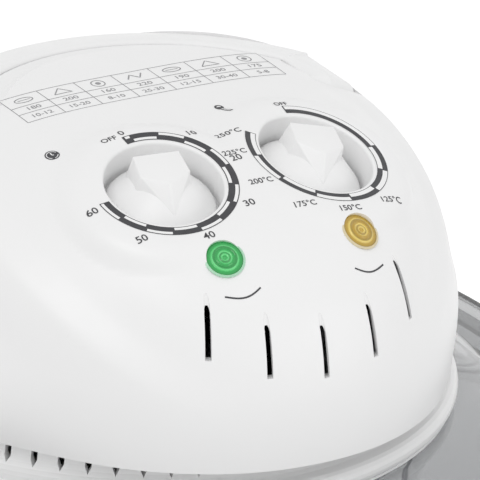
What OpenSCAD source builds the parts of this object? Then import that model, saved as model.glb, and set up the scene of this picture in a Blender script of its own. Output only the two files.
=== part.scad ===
// Countertop halogen oven: glass bowl on a stand, with a lift-off glass lid that carries the fan and lamp head.
// Millimetres. The origin is at the middle of the footprint, +Z is up and the controls face -Y.

/* [Stand] */
// Outer radius of the stand's ring at its top edge
stand_r = 148; // [146:0.5:160]
// Height of the stand's ring above the table
stand_h = 50; // [47:0.5:56]
// Radius of the ring's skirt at the bottom edge
stand_foot_r = 135; // [130:0.5:142]
// Height of the bottom edge of the skirt above the table
skirt_lift = 4; // [2:0.5:8]
// Height of the ledge that carries the bowl
seat_z = 16; // [14:0.5:18]
// Radius of the round vent in the middle of the stand
vent_r = 72; // [60:1:78]
// Thickness of the stand's moulded walls
stand_wall = 3; // [2.5:0.1:3.6]
// Number of ribs that stiffen the skirt from below
rib_count = 12; // [6:1:18]
// Thickness of each stiffening rib
rib_t = 2; // [1.5:0.1:3]
// Reach of each side grip beyond the ring
grip_reach = 30; // [26:1:40]
// Length of each side grip along the ring
grip_len = 96; // [80:1:110]
// Width of the bar of each side grip
grip_bar = 13; // [10:0.5:15]
// Thickness of each side grip
grip_t = 12; // [8:0.5:14]
// Radius of the circle that carries the four feet
foot_ring_r = 104; // [98:1:108]
// Radius of each rubber foot
foot_r = 9; // [7:0.5:10]
// Height of each rubber foot under its post
foot_h = 4; // [3:0.5:6]
// Radius of the spigot that holds each foot in its post
foot_pin_r = 4; // [3:0.1:5]

/* [Bowl] */
// Radius of the flat bottom of the glass bowl
bowl_flat_r = 100; // [96:1:102]
// Radius of the rounded corner between bottom and wall
bowl_corner_r = 32; // [28:1:34]
// Outer radius of the glass wall just under the rim
bowl_top_r = 150; // [146:0.5:152]
// How far the rolled rim stands out from the wall
bowl_rim_out = 6; // [4:0.5:7]
// Height of the rolled rim above the table
bowl_top_z = 178; // [170:0.5:186]
// Thickness of the glass wall
bowl_wall = 4.5; // [3.5:0.1:5.5]
// Thickness of the glass bottom
bowl_floor = 5; // [4:0.1:7]
// Height of the rolled rim
bowl_rim_h = 6; // [4:0.5:9]

/* [Rack] */
// Radius of the rack's outer ring
rack_r = 92; // [80:1:94]
// Height of the rack's ring above the bowl's floor
rack_h = 34; // [26:1:42]
// Radius of the ring's wire
rack_wire_r = 1.8; // [1.4:0.1:2.4]
// Radius of the cross wires
rack_bar_r = 1.25; // [1:0.05:1.6]
// Radius of the legs
rack_leg_r = 1.5; // [1.3:0.05:1.7]
// Distance between the cross wires
rack_pitch = 14; // [11:0.5:18]
// Number of cross wires on each side of the middle one
rack_side_bars = 5; // [3:1:5]
// Radius of the circle on which the legs stand
rack_leg_ring_r = 82; // [72:1:88]

/* [Lid glass] */
// How far the glass lid reaches past the bowl's rim
lid_over = 2.5; // [2:0.5:6]
// Height of the outer edge of the lid above the table
lid_rim_z = 190; // [189:0.25:190.5]
// Radius at which the flat outer band steps up into the domed middle
lid_step_r = 135; // [130:0.5:138]
// Height of the step between the band and the domed middle
lid_step_h = 2.5; // [1.5:0.1:3]
// Thickness of the lid's glass
lid_t = 4.5; // [3.5:0.1:5]
// Radius of the hole in the middle of the lid
lid_hole_r = 101; // [100.6:0.1:102.5]
// Radius of the flat around the hole
lid_flat_r = 114; // [112:0.5:116]

/* [Lower housing] */
// Height of the lower housing's flange above the table
flange_z = 200; // [199.5:0.25:201]
// Outer radius of the lower housing's flange
flange_r = 115; // [113:0.25:117]
// Height of the rounded lip of the flange
flange_h = 8; // [7:0.25:8.5]
// Outer radius of the slotted neck
neck_r = 104; // [103:0.25:105]
// Thickness of the neck's wall
neck_wall = 3; // [2.5:0.1:3.4]
// Height of the neck's top edge above the flange
neck_h = 26; // [25.5:0.1:26.5]
// Number of cooling slots around the neck
neck_slots = 72; // [36:2:80]
// Width of each cooling slot
neck_slot_w = 2.2; // [1.6:0.1:2.6]
// Height of the pointed lower tip of a slot above the flange
neck_slot_low = 10.5; // [10:0.25:12]
// Height of the upper end of a slot above the flange
neck_slot_high = 21.5; // [20:0.25:22]

/* [Main housing] */
// Height of the housing's lower edge above the flange
skin_z = 20; // [19.5:0.25:21]
// Radius of the round rear body
round_r = 115.2; // [114:0.2:117]
// Height of the round rear body above the lower edge
round_h = 78.7; // [76:0.2:80]
// Squareness of the round body's side profile, 2 is an ellipse
round_n = 2.1; // [2:0.05:2.3]
// Half width of the control pod
pod_w = 100; // [98:0.5:103]
// Reach of the control pod to the front
nose_r = 126; // [124.5:0.25:128]
// Reach of the pod's top to the rear
back_r = 96; // [92:0.5:99]
// Squareness of the pod in plan
pod_m = 2.12; // [2:0.02:2.3]
// Height of the pod above the lower edge
pod_h = 87; // [86:0.25:88.5]
// Squareness of the pod's front profile
front_n = 3; // [2.8:0.05:3.2]
// Squareness of the pod's side profile
side_n = 3.8; // [3.4:0.05:4.2]
// Squareness of the pod's rear profile
back_n = 2.4; // [2.2:0.05:2.7]
// Depth of the soft crease around the control pod
crease_d = 2.6; // [1:0.1:3]
// How far the sides draw in at the lower edge
tuck_side = 4; // [2:0.1:5]
// How far the front draws in at the lower edge
tuck_front = 1; // [0.5:0.1:2]
// Height over which the lower edge draws in
tuck_h = 26; // [20:0.5:30]
// Thickness of the housing's moulded wall
skin_wall = 3; // [2.4:0.1:3.2]
// Radius of the opening in the housing's base
base_hole_r = 106.5; // [106:0.1:107.5]
// Number of front cooling slots on each side of the middle one
side_slots = 2; // [1:1:2]
// Angle between two front slots
slot_pitch = 9.6; // [8:0.1:10.5]
// Width of each front slot
slot_w = 1.8; // [1.4:0.1:2.4]
// Length of each front slot
slot_len = 16.5; // [12:0.5:17.5]
// Height of the middle front slot's lower end above the housing's lower edge
slot_low = 30.3; // [27:0.1:32]
// How much higher each slot starts than the one nearer the middle
slot_rise = 2.5; // [0:0.1:3]
// Added rise of the outermost slots
slot_rise_out = 2.4; // [0:0.1:3]

/* [Dials and lamps] */
// Distance of each dial from the middle plane
dial_x = 29.7; // [28.5:0.1:31]
// Distance of each dial in front of the middle
dial_y = 65.5; // [64:0.1:67]
// Height of each dial above the flange
dial_z = 101.2; // [100.6:0.1:101.8]
// Forward tilt of the dials
dial_tilt = 17.2; // [16:0.1:18.5]
// Sideways tilt of the dials
dial_roll = 7; // [6:0.1:8]
// Radius of the round well around each knob
well_r = 20.6; // [20:0.1:21]
// Depth of the well
well_d = 12; // [11:0.1:12.6]
// Thickness of the well's wall and floor
well_wall = 2; // [1.6:0.1:2.2]
// Radius of the knob's skirt
knob_r = 18.9; // [17.5:0.1:19.4]
// Height of the knob's grip above the dial's plane
knob_top = 4.6; // [3:0.1:6]
// Width of the knob's grip at its broad end
grip_w = 19; // [16:0.5:20]
// Radius of the timer's and the thermostat's shafts
spindle_r = 3; // [2.5:0.05:3.4]
// Radius of the mechanical timer's case
timer_case_r = 21; // [18:0.5:22]
// Length of the mechanical timer's case
timer_case_h = 22; // [18:0.5:24]
// Radius of the thermostat's case
stat_case_r = 16; // [13:0.5:18]
// Length of the thermostat's case
stat_case_h = 17; // [14:0.5:20]
// Distance of each lamp from the middle plane
lamp_x = 26.3; // [25:0.1:28]
// Distance of each lamp in front of the middle
lamp_y = 98.6; // [97.5:0.1:99.5]
// Height of each lamp above the flange
lamp_z = 87.2; // [86.8:0.1:87.8]
// Forward tilt of the lamps
lamp_tilt = 36; // [33:0.5:39]
// Sideways tilt of the lamps
lamp_roll = 12; // [9:0.5:14]
// Radius of each lens barrel
lens_r = 6.2; // [5.5:0.1:6.6]
// Height of the lens dome above the panel
lens_dome = 1.8; // [1:0.1:2.4]
// Radius of the neon lamp behind each lens
neon_r = 2.8; // [2:0.1:3.2]

/* [Carry handle] */
// Distance of the handle arc's centre in front of the middle
handle_y = 31; // [29:0.5:33]
// Inner radius of the handle's arc
handle_in_r = 73; // [72:0.25:74]
// Width of the handle's band
handle_w = 17; // [15:0.25:18]
// Height of the handle's underside above the flange
handle_z = 92.6; // [92:0.1:93.2]
// Height of the handle's rear top edge above the flange
handle_top_z = 98.4; // [97.6:0.1:99]
// Height of the handle's front top edge above the flange
handle_crest_z = 101.8; // [101:0.1:102.4]
// How far the handle's inner face draws back towards its underside, so that it can swing out of its seat
handle_draft = 3; // [2.8:0.1:4]
// Angle at which each end of the arc runs into its pivot
handle_end_a = 30; // [28:0.5:32]
// Distance of the handle's pivot in front of the middle
pivot_y = 5; // [4:0.25:6]
// Height of the handle's pivot above the flange
pivot_z = 93; // [92.5:0.1:93.5]
// Distance of the inner face of each pivot eye from the middle plane
pivot_x = 64.5; // [64:0.1:65]
// Thickness of each pivot eye
pivot_t = 18.5; // [17.5:0.25:19]
// Radius of each pivot eye
pivot_r = 6.5; // [6:0.1:6.8]
// Radius of the outer end of each pivot eye
pivot_tip_r = 4; // [3.5:0.1:4.4]
// Drop of the outer end of each pivot eye below the pivot
pivot_tip_drop = 3.5; // [3:0.1:4]
// Radius of the pivot pins
pivot_pin_r = 2.5; // [2:0.05:3]
// Radius of the safety switch's plunger
plunger_r = 2; // [1.6:0.05:2.4]
// Travel of the safety switch's plunger
plunger_travel = 3; // [2:0.1:3.4]

/* [Heater and fans] */
// Radius of the reflector pan
pan_r = 92; // [90:0.25:93]
// Thickness of the sheet metal pans
sheet_t = 1; // [0.8:0.1:1.2]
// Depth of the reflector pan above its flange
pan_h = 10; // [9:0.25:10.5]
// Radius of the halogen tube's ring
tube_ring_r = 72; // [70:0.5:76]
// Radius of the halogen tube
tube_r = 5.5; // [4.5:0.1:6]
// Depth of the guard basket below its rim
guard_h = 21; // [19:0.5:24]
// Radius of the guard's wires
guard_wire_r = 1.2; // [1:0.1:1.6]
// Number of radial wires in the guard
guard_spokes = 8; // [6:1:12]
// Radius of the hot air fan
hot_fan_r = 52; // [44:0.5:56]
// Height of the hot air fan's blades
hot_blade_h = 9; // [7:0.5:10]
// Radius of the cooling fan
cool_fan_r = 62; // [54:0.5:64]
// Height of the cooling fan's blades
cool_blade_h = 8; // [6:0.5:9]
// Number of blades on each fan
fan_blades = 10; // [6:1:12]
// Radius of the motor shaft
shaft_r = 4; // [3:0.1:4.5]
// Radius of the motor's rotor
rotor_r = 15; // [12:0.5:16]
// Thickness of the motor's laminated core
core_h = 18; // [14:0.5:20]
// Half width of the motor's laminated core
core_x = 29; // [26:0.5:32]

/* [Hidden] */
$fn = 96;

white = [0.94, 0.94, 0.94];
steel = [0.72, 0.73, 0.75];
bright = [0.85, 0.86, 0.87];
dark = [0.12, 0.12, 0.13];
clear_glass = [0.72, 0.78, 0.8, 0.4];

// Clearance between pieces that lift or slide apart
rest_gap = 0.3;
// Radial clearance of pins and shafts that turn
run_gap = 0.05;
// Clearance of pieces that are pushed together once
push_gap = 0.1;
// Overlap of a cut past the face it opens
cut = 1;

// Radii that follow from each other
bowl_rim_r = bowl_top_r + bowl_rim_out;
lid_r = bowl_rim_r + lid_over;
handle_out_r = handle_in_r + handle_w;

// Heights that follow from the stack of pieces
bowl_z = seat_z + rest_gap;
bowl_floor_z = bowl_z + bowl_floor;
rack_foot_z = bowl_floor_z + rest_gap;
rack_z = rack_foot_z + rack_h;
rack_stub_drop = 0.9;
gasket_h = 1.5;
lid_top_z = flange_z - gasket_h;
lid_low_z = lid_top_z - lid_t;
lid_seat_z = bowl_top_z + rest_gap;
base_z = flange_z + skin_z;
base_t = 2.5;
neck_in_r = neck_r - neck_wall;
neck_top_z = flange_z + neck_h;
ledge_t = 3;
ledge_in_r = 88;
flange_in_r = pan_r + 2;

// Outline of the glass bowl
lean = atan2(bowl_top_r - bowl_flat_r - bowl_corner_r, bowl_top_z - bowl_z - bowl_corner_r);

function arc(cx, cy, r, from, to, steps) =
    [for (i = [0:steps]) let(a = from + (to - from) * i / steps) [cx + r * cos(a), cy + r * sin(a)]];

function smooth(t) = let(c = min(1, max(0, t))) c * c * (3 - 2 * c);

// The stand: a moulded ring with an inverted V section, ribs, foot posts and two side grips
stand_in_r = stand_r - 5;
ledge_out_r = bowl_flat_r + bowl_corner_r * 0.56;
grip_top_z = stand_h - 5;
foot_post_r = foot_r + 1.5;

module stand_section() {
    polygon([
        [vent_r, seat_z], [ledge_out_r, seat_z], [stand_in_r, stand_h - 1], [stand_in_r + 1.5, stand_h],
        [stand_r - 1.5, stand_h], [stand_r, stand_h - 1.5], [stand_foot_r, skirt_lift],
        [stand_foot_r - stand_wall, skirt_lift], [stand_r - stand_wall - 1.4, stand_h - 5.5],
        [ledge_out_r + 1.5, seat_z - stand_wall], [vent_r, seat_z - stand_wall]]);
}

module stand_rib() {
    rotate([90, 0, 0])
        linear_extrude(rib_t, center = true)
            polygon([[ledge_out_r - 8, seat_z - 1.5], [ledge_out_r + 1, seat_z - 1.5], [stand_in_r + 2, stand_h - 4],
                [stand_r - 2, stand_h - 5], [stand_foot_r - 1, skirt_lift + 2],
                [stand_foot_r - stand_wall - 2, skirt_lift + 2], [ledge_out_r - 8, seat_z - stand_wall - 2]]);
}

module rounded_plan(length, width, corner) {
    square([length - 2 * corner, width], center = true);
    square([length, width - 2 * corner], center = true);
    for (x = [-1, 1])
        for (y = [-1, 1])
            translate([x * (length / 2 - corner), y * (width / 2 - corner)])
                circle(corner);
}

// A flat loop that grows out of the ring, open in the middle for the fingers
module side_grip() {
    reach = stand_r + grip_reach;
    start = stand_r - 12;
    gap_start = stand_r + 2;
    translate([0, 0, grip_top_z - grip_t])
        linear_extrude(grip_t)
            difference() {
                translate([(reach + start) / 2, 0])
                    rounded_plan(reach - start, grip_len, 14);
                translate([(gap_start + reach - grip_bar) / 2, 0])
                    rounded_plan(reach - grip_bar - gap_start, grip_len - 2 * grip_bar, 6);
                circle(stand_r - 6);
            }
}

module stand() color(white) {
    difference() {
        union() {
            rotate_extrude()
                stand_section();
            for (i = [0:rib_count - 1])
                rotate((i + 0.5) * 360 / rib_count)
                    stand_rib();
            for (side = [0, 180])
                rotate(side)
                    side_grip();
            for (a = [45:90:315])
                rotate(a)
                    translate([foot_ring_r, 0, foot_h])
                        cylinder(h = seat_z - stand_wall / 2 - foot_h, r = foot_post_r);
        }
        for (a = [45:90:315])
            rotate(a)
                translate([foot_ring_r, 0, foot_h - cut])
                    cylinder(h = 6 + cut, r = foot_pin_r + push_gap);
    }
}

module rubber_feet() color(dark)
    for (a = [45:90:315])
        rotate(a)
            translate([foot_ring_r, 0, 0]) {
                cylinder(h = 1, r1 = foot_r - 1, r2 = foot_r);
                translate([0, 0, 1])
                    cylinder(h = foot_h - 1, r = foot_r);
                cylinder(h = foot_h + 5, r = foot_pin_r);
            }

// The bowl: one thickness of glass from the flat bottom to the rolled rim
module glass_bowl() color(clear_glass) {
    outer = arc(bowl_flat_r, bowl_z + bowl_corner_r, bowl_corner_r, -90, -lean, 10);
    inner = arc(bowl_flat_r, bowl_z + bowl_corner_r, bowl_corner_r - bowl_wall, -lean, -90, 10);
    rim_z = bowl_top_z - bowl_rim_h / 2;
    rotate_extrude($fn = 128)
        polygon(concat(
            [[0, bowl_z]], outer,
            [[bowl_top_r, bowl_top_z - bowl_rim_h - 3]],
            arc(bowl_rim_r - bowl_rim_h / 2, rim_z, bowl_rim_h / 2, -90, 90, 8),
            [[bowl_top_r - bowl_wall + 1, bowl_top_z], [bowl_top_r - bowl_wall, bowl_top_z - 1.5],
            [bowl_top_r - bowl_wall, bowl_top_z - bowl_rim_h - 3]],
            inner, [[bowl_flat_r - 4, bowl_floor_z], [0, bowl_floor_z]]));
}

module ring_wire(radius, wire) {
    rotate_extrude()
        translate([radius, 0])
            circle(wire, $fn = 24);
}

// The wire rack: a ring with cross wires and four straight legs
module cooking_rack() color(bright) {
    translate([0, 0, rack_z])
        ring_wire(rack_r, rack_wire_r);
    for (i = [-rack_side_bars:rack_side_bars])
        let(x = i * rack_pitch, half = sqrt(rack_r * rack_r - x * x))
            translate([x, -half, rack_z])
                rotate([-90, 0, 0])
                    cylinder(h = 2 * half, r = rack_bar_r, $fn = 24);
    for (a = [45:90:315])
        rotate(a) {
            translate([rack_leg_ring_r, 0, rack_foot_z])
                cylinder(h = rack_h - rack_stub_drop, r = rack_leg_r, $fn = 24);
            translate([rack_leg_ring_r - 2.2, 0, rack_z - rack_stub_drop])
                rotate([0, 90, 0])
                    cylinder(h = rack_r - rack_leg_ring_r + 2.2, r = rack_leg_r + 0.2, $fn = 24);
        }
}

// The lid: a flat outer band with a rolled edge, a small step and a domed middle with a hole for the head
module lid_glass() color(clear_glass) {
    band_low_z = lid_rim_z - lid_t;
    edge_r = 2;
    step_z = lid_rim_z + lid_step_h;
    dome_steps = 6;
    dome = [for (i = [0:dome_steps])
        let(t = i / dome_steps)
            [lid_step_r - 2 + (lid_flat_r - lid_step_r + 2) * t, step_z + (lid_top_z - step_z) * sin(90 * t)]];
    rotate_extrude($fn = 128)
        polygon(concat(
            [[lid_hole_r, lid_low_z], [lid_hole_r, lid_top_z]],
            [for (i = [dome_steps:-1:0]) dome[i]],
            [[lid_step_r, lid_rim_z]],
            arc(lid_r - edge_r, lid_rim_z - edge_r, edge_r, 90, 0, 4),
            [[lid_r, lid_seat_z + edge_r]],
            [[lid_r - edge_r, lid_seat_z], [lid_r - 7, lid_seat_z], [lid_r - 8.5, band_low_z],
            [lid_step_r - 1, band_low_z]],
            [for (p = dome) [p[0] - 2.5, p[1] - lid_t]]));
}

// The seal between the lid's glass and the flange
module lid_gasket() color(dark)
    translate([0, 0, lid_top_z])
        difference() {
            cylinder(h = gasket_h, r = flange_r - 4);
            translate([0, 0, -cut])
                cylinder(h = gasket_h + 2 * cut, r = lid_hole_r + 0.5);
        }

// The slotted neck and the rounded flange under the head
clamp_ring_r = (flange_in_r + neck_in_r) / 2;
screw_post_ring_r = 96;
screw_angles = [40, 140, 220, 320];

module neck_section() {
    lip = flange_h / 2;
    cove_r = flange_r - 4 - neck_r;
    polygon(concat(
        [[flange_in_r, flange_z], [flange_r - 1.5, flange_z]],
        arc(flange_r - lip, flange_z + lip, lip, -68, 90, 8),
        arc(neck_r + cove_r, flange_z + flange_h + cove_r, cove_r, 270, 180, 6),
        [[neck_r, neck_top_z], [ledge_in_r, neck_top_z], [ledge_in_r, neck_top_z - ledge_t],
        [neck_in_r, neck_top_z - ledge_t], [neck_in_r, flange_z + 3], [flange_in_r, flange_z + 3]]));
}

module neck_slot() {
    tip = neck_slot_w;
    rotate([90, 0, 90])
        translate([0, 0, neck_in_r - cut])
            linear_extrude(flange_r - 3 - neck_in_r + cut)
                polygon([
                    [0, flange_z + neck_slot_low],
                    [neck_slot_w / 2, flange_z + neck_slot_low + tip],
                    [neck_slot_w / 2, flange_z + neck_slot_high],
                    [-neck_slot_w / 2, flange_z + neck_slot_high],
                    [-neck_slot_w / 2, flange_z + neck_slot_low + tip]]);
}

module lower_housing() color(white)
    difference() {
        union() {
            rotate_extrude($fn = 128)
                neck_section();
            for (a = [0:45:315])
                rotate(a)
                    translate([clamp_ring_r, 0, flange_z])
                        cylinder(h = 8, r = clamp_boss_r, $fn = 32);
        }
        for (i = [0:neck_slots - 1])
            rotate((i + 0.5) * 360 / neck_slots)
                neck_slot();
        for (a = [0:45:315])
            rotate(a)
                translate([clamp_ring_r, 0, flange_z - cut])
                    cylinder(h = 10 + cut, r = clamp_screw_r, $fn = 32);
        for (a = screw_angles)
            rotate(a)
                translate([screw_post_ring_r, 0, neck_top_z - ledge_t - cut])
                    cylinder(h = ledge_t + 2 * cut, r = screw_r + push_gap, $fn = 32);
    }

clamp_boss_r = 3.4;
clamp_screw_r = 1.8;
screw_r = 1.9;

// Outer skin of the head. Azimuth a is 0 at the front and grows towards +X, elevation e is 0 at the lower edge.
blend_p = 40;

function plan_r(a) =
    let(s = abs(sin(a)), c = cos(a))
        pow(pow(s / pod_w, pod_m) + pow(abs(c) / (c > 0 ? nose_r : back_r), pod_m), -1 / pod_m);

function profile_n(a) =
    (cos(a) > 0 ? front_n : back_n) * pow(cos(a), 2) + side_n * pow(sin(a), 2);

function cap_r(r, h, n, e) = pow(pow(cos(e) / r, n) + pow(sin(e) / h, n), -1 / n);

// Half turn angle from the front, the same on both sides
function off_front(a) = a > 180 ? 360 - a : a;

// The crease climbs from the front slots to the ends of the handle and fades out at the middle of the front
function crease(a, e) =
    let(
        b = off_front(a),
        line = 15.5 + 30.5 * smooth((b - 8) / 74),
        t = e - line,
        shape = t > 0 ? 1 - smooth(t / 13) : 1 - smooth(-t / 8))
            crease_d * smooth((b - 12) / 22) * (1 - smooth((b - 78) / 16)) * shape;

function skin_r(a, e) =
    pow(pow(cap_r(round_r, round_h, round_n, e), blend_p)
        + pow(cap_r(plan_r(a), pod_h, profile_n(a), e), blend_p), 1 / blend_p) - crease(a, e);

function tuck(a, h) =
    pow(max(0, 1 - h / tuck_h), 1.5)
        * (tuck_front + (tuck_side - tuck_front) * smooth((off_front(a) - 30) / 25));

function skin_point(a, e, inset) =
    let(r = skin_r(a, e) - inset, h = r * sin(e), q = max(0, r * cos(e) - tuck(a, h)))
        [q * sin(a), -q * cos(a), base_z + h];

// A closed dome that follows the skin at an inset, from a first elevation up to the top
module skin_solid(inset, first_e, around, rows) {
    points = concat(
        [for (i = [0:rows - 1])
            for (j = [0:around - 1])
                skin_point(j * 360 / around, first_e + (90 - first_e) * i / rows, inset)],
        [skin_point(0, 90, inset), [0, 0, base_z + skin_r(0, first_e) * sin(first_e)]]);
    apex = rows * around;
    low = apex + 1;
    sides = [for (i = [0:rows - 2])
        for (j = [0:around - 1])
            let(k = (j + 1) % around, p = i * around)
                each [[p + j, p + around + j, p + around + k], [p + j, p + around + k, p + k]]];
    caps = [for (j = [0:around - 1])
        let(k = (j + 1) % around, p = (rows - 1) * around)
            each [[p + j, apex, p + k], [low, j, k]]];
    polyhedron(points, concat(sides, caps));
}

module at_dial(side) {
    translate([side * dial_x, -dial_y, flange_z + dial_z])
        rotate([dial_tilt, side * dial_roll, 0])
            children();
}

module at_lamp(side) {
    translate([side * lamp_x, -lamp_y, flange_z + lamp_z])
        rotate([lamp_tilt, side * lamp_roll, 0])
            children();
}

module at_handle() {
    translate([0, -handle_y, flange_z])
        children();
}

module at_pivot(side) {
    translate([side * pivot_x, -pivot_y, flange_z + pivot_z])
        rotate([0, side * 90, 0])
            children();
}

// Reach of each pivot pin into the housing and into the handle, measured from the eye's inner face
pin_in = 10.5;
pin_out = 9;

// Where the safety switch sits under the handle
plunger_a = 40;
plunger_ring_r = (handle_in_r + handle_out_r) / 2;
seat_gap = 0.4;
// how far the straight ends of the handle and of its seat reach into the curved part
root_a = 1.2;
pocket_r = pivot_tip_drop + pivot_tip_r + seat_gap;
shelf_t = 3;
shelf_z = flange_z + handle_z - seat_gap;
switch_l = 20;
switch_w = 7;
switch_h = 10;
switch_top_z = shelf_z - shelf_t - 6.3;

module at_plunger() {
    translate([plunger_ring_r * cos(plunger_a), plunger_ring_r * sin(plunger_a) - handle_y, 0])
        rotate(plunger_a)
            children();
}

// Everything that stays solid inside the housing: wells, lamp sleeves, pivot blocks, shelf, posts and ribs
post_r = 5.5;
post_h = 24;
grommet_z = 240;
grommet_r = 7;
grommet_tilt = 4;

// The grommet sits square on the rear skin at its height
grommet_h = grommet_z - base_z;
grommet_e = asin(grommet_h / round_r);
grommet_y = skin_r(180, grommet_e) * cos(grommet_e) - tuck(180, grommet_h);

module at_grommet() {
    translate([0, grommet_y, grommet_z])
        rotate([grommet_tilt - 90, 0, 0])
            children();
}

module housing_inside() {
    for (side = [-1, 1]) {
        at_dial(side)
            translate([0, 0, -well_d - well_wall])
                cylinder(h = well_d + 14, r = well_r + well_wall);
        at_lamp(side)
            translate([0, 0, -8])
                cylinder(h = 14, r = lens_r + 2);
        at_pivot(side)
            translate([0, 0, -pin_in - 2.5])
                cylinder(h = 40, r = pocket_r + 3.5);
    }
    at_handle()
        rotate(handle_end_a - 10)
            rotate_extrude(angle = 200 - 2 * handle_end_a)
                translate([handle_in_r - 3.5, handle_z - seat_gap - shelf_t])
                    square([handle_out_r - handle_in_r + 7, 30]);
    at_plunger()
        for (side = [-1, 1])
            translate([0, side * (switch_w / 2 + 1.5 + push_gap), shelf_z - 14])
                cube([switch_l, 3, 28], center = true);
    for (a = screw_angles)
        rotate(a) {
            translate([screw_post_ring_r, 0, neck_top_z])
                cylinder(h = post_h, r = post_r, $fn = 48);
            translate([screw_post_ring_r, -1.5, neck_top_z])
                cube([24, 3, post_h]);
        }
}

module front_slot(step) {
    a = step * slot_pitch;
    low = base_z + slot_low + abs(step) * slot_rise + (abs(step) > 1 ? (abs(step) - 1) * slot_rise_out : 0);
    rotate(a - 90)
        rotate([90, 0, 90])
            translate([0, 0, nose_r - 35])
                linear_extrude(45)
                    polygon([
                        [-slot_w / 2, low], [slot_w / 2, low],
                        [slot_w / 2, low + slot_len - 2], [0, low + slot_len],
                        [-slot_w / 2, low + slot_len - 2]]);
}

// Room for one end of the handle, at rest and while it swings up
module handle_pocket(side) {
    inner = max(0, pivot_x - handle_in_r * cos(handle_end_a)) + seat_gap;
    hull() {
        at_pivot(side)
            translate([0, 0, -inner])
                cylinder(h = pivot_t + inner + seat_gap, r = pocket_r, $fn = 32);
        translate([side * (pivot_x + (pivot_t + seat_gap - inner) / 2), -pivot_y, flange_z + pivot_z + 20])
            cube([pivot_t + inner + seat_gap, 2 * pocket_r, 20], center = true);
        at_handle()
            rotate(side > 0 ? handle_end_a + root_a : 180 - handle_end_a - root_a)
                translate([handle_in_r - seat_gap - 0.12, -0.5, handle_z - seat_gap - 0.15])
                    cube([handle_out_r - handle_in_r + 2 * seat_gap + 0.24, 1, 30]);
    }
}

module main_housing() color(white)
    difference() {
        skin_solid(0, 0, 60, 18);
        difference() {
            skin_solid(skin_wall, asin(base_t / round_r), 40, 8);
            housing_inside();
        }
        translate([0, 0, base_z - cut])
            cylinder(h = base_t + 3, r = base_hole_r);
        for (side = [-1, 1]) {
            at_dial(side) {
                translate([0, 0, -well_d])
                    cylinder(h = well_d + 14, r = well_r);
                translate([0, 0, -well_d - well_wall - cut])
                    cylinder(h = well_wall + 2 * cut, r = spindle_r + rest_gap);
                for (y = [-1, 1])
                    translate([0, y * control_screw_y, -well_d - well_wall - cut])
                        cylinder(h = well_wall + 2 * cut, r = control_screw_r + push_gap, $fn = 24);
            }
            at_lamp(side) {
                translate([0, 0, -10])
                    cylinder(h = 16, r = lens_r + push_gap);
            }
            at_pivot(side)
                translate([0, 0, -pin_in])
                    cylinder(h = pin_in + 2, r = pivot_pin_r, $fn = 48);
            handle_pocket(side);
        }
        at_handle() {
            rotate_extrude()
                translate([handle_in_r - 1, handle_crest_z + 15.7])
                    circle(16);
            rotate(handle_end_a)
                rotate_extrude(angle = 180 - 2 * handle_end_a)
                    translate([handle_in_r - seat_gap, handle_z - seat_gap])
                        square([handle_out_r - handle_in_r + 2 * seat_gap, 30]);
        }
        at_plunger()
            translate([0, 0, shelf_z - shelf_t - cut])
                cylinder(h = shelf_t + 2 * cut, r = plunger_r + run_gap, $fn = 48);
        for (step = [-side_slots:side_slots])
            front_slot(step);
        for (a = screw_angles)
            rotate(a)
                translate([screw_post_ring_r, 0, neck_top_z - cut])
                    cylinder(h = 17, r = screw_r, $fn = 32);
        at_grommet()
            translate([0, 0, -16])
                cylinder(h = 24, r = grommet_r);
    }

module housing_screws() color(steel)
    for (a = screw_angles)
        rotate(a)
            translate([screw_post_ring_r, 0, neck_top_z - ledge_t]) {
                cylinder(h = ledge_t + 14, r = screw_r, $fn = 32);
                translate([0, 0, -2.5])
                    difference() {
                        cylinder(h = 2.5, r = 3.6, $fn = 32);
                        translate([0, 0, -cut])
                            cylinder(h = 1.4 + cut, r = 1.6, $fn = 6);
                    }
            }

// The reflector pan hangs under the lid and closes the head against the cooking space
pan_flange_z = lid_low_z - sheet_t;
pan_top_z = lid_low_z + pan_h;
pan_hole_r = 8;
standoff_h = 3;
guard_rim_in_r = clamp_ring_r + 3.5;
guard_rim_out_r = guard_rim_in_r + 7;

module pan_section() {
    bend = 3;
    polygon(concat(
        [[guard_rim_out_r + 1, pan_flange_z], [guard_rim_out_r + 1, lid_low_z], [pan_r, lid_low_z]],
        arc(pan_r - bend, pan_top_z - bend, bend, 0, 90, 4),
        [[pan_hole_r, pan_top_z], [pan_hole_r, pan_top_z - sheet_t]],
        arc(pan_r - bend, pan_top_z - bend, bend - sheet_t, 90, 0, 4),
        [[pan_r - sheet_t, pan_flange_z]]));
}

module reflector_pan() color(bright)
    difference() {
        rotate_extrude($fn = 128)
            pan_section();
        for (a = [0:45:315])
            rotate(a)
                translate([clamp_ring_r, 0, pan_flange_z - cut])
                    cylinder(h = 4, r = clamp_screw_r + push_gap, $fn = 32);
        for (side = [-1, 1])
            translate([side * tube_end_x, tube_end_y, pan_top_z - 4])
                cylinder(h = 6, r = 3, $fn = 32);
    }

module clamp_screws() color(steel)
    for (a = [45:90:315])
        rotate(a)
            translate([clamp_ring_r, 0, pan_flange_z - 2.2]) {
                cylinder(h = 2.2, r = 3, $fn = 32);
                cylinder(h = 14, r = clamp_screw_r - push_gap / 2, $fn = 32);
            }

module insulation_disc() color([0.86, 0.84, 0.78])
    translate([0, 0, pan_top_z])
        difference() {
            cylinder(h = standoff_h - 0.4, r = pan_r - 6);
            translate([0, 0, -cut])
                cylinder(h = standoff_h + 2 * cut, r = pan_hole_r + 2);
            for (a = [90:120:330])
                rotate(a)
                    translate([70, 0, -cut])
                        cylinder(h = standoff_h + 2 * cut, r = 5.4, $fn = 32);
            for (side = [-1, 1])
                translate([side * tube_end_x, tube_end_y, -cut])
                    cylinder(h = standoff_h + 2 * cut, r = 3.2, $fn = 32);
        }

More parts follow.
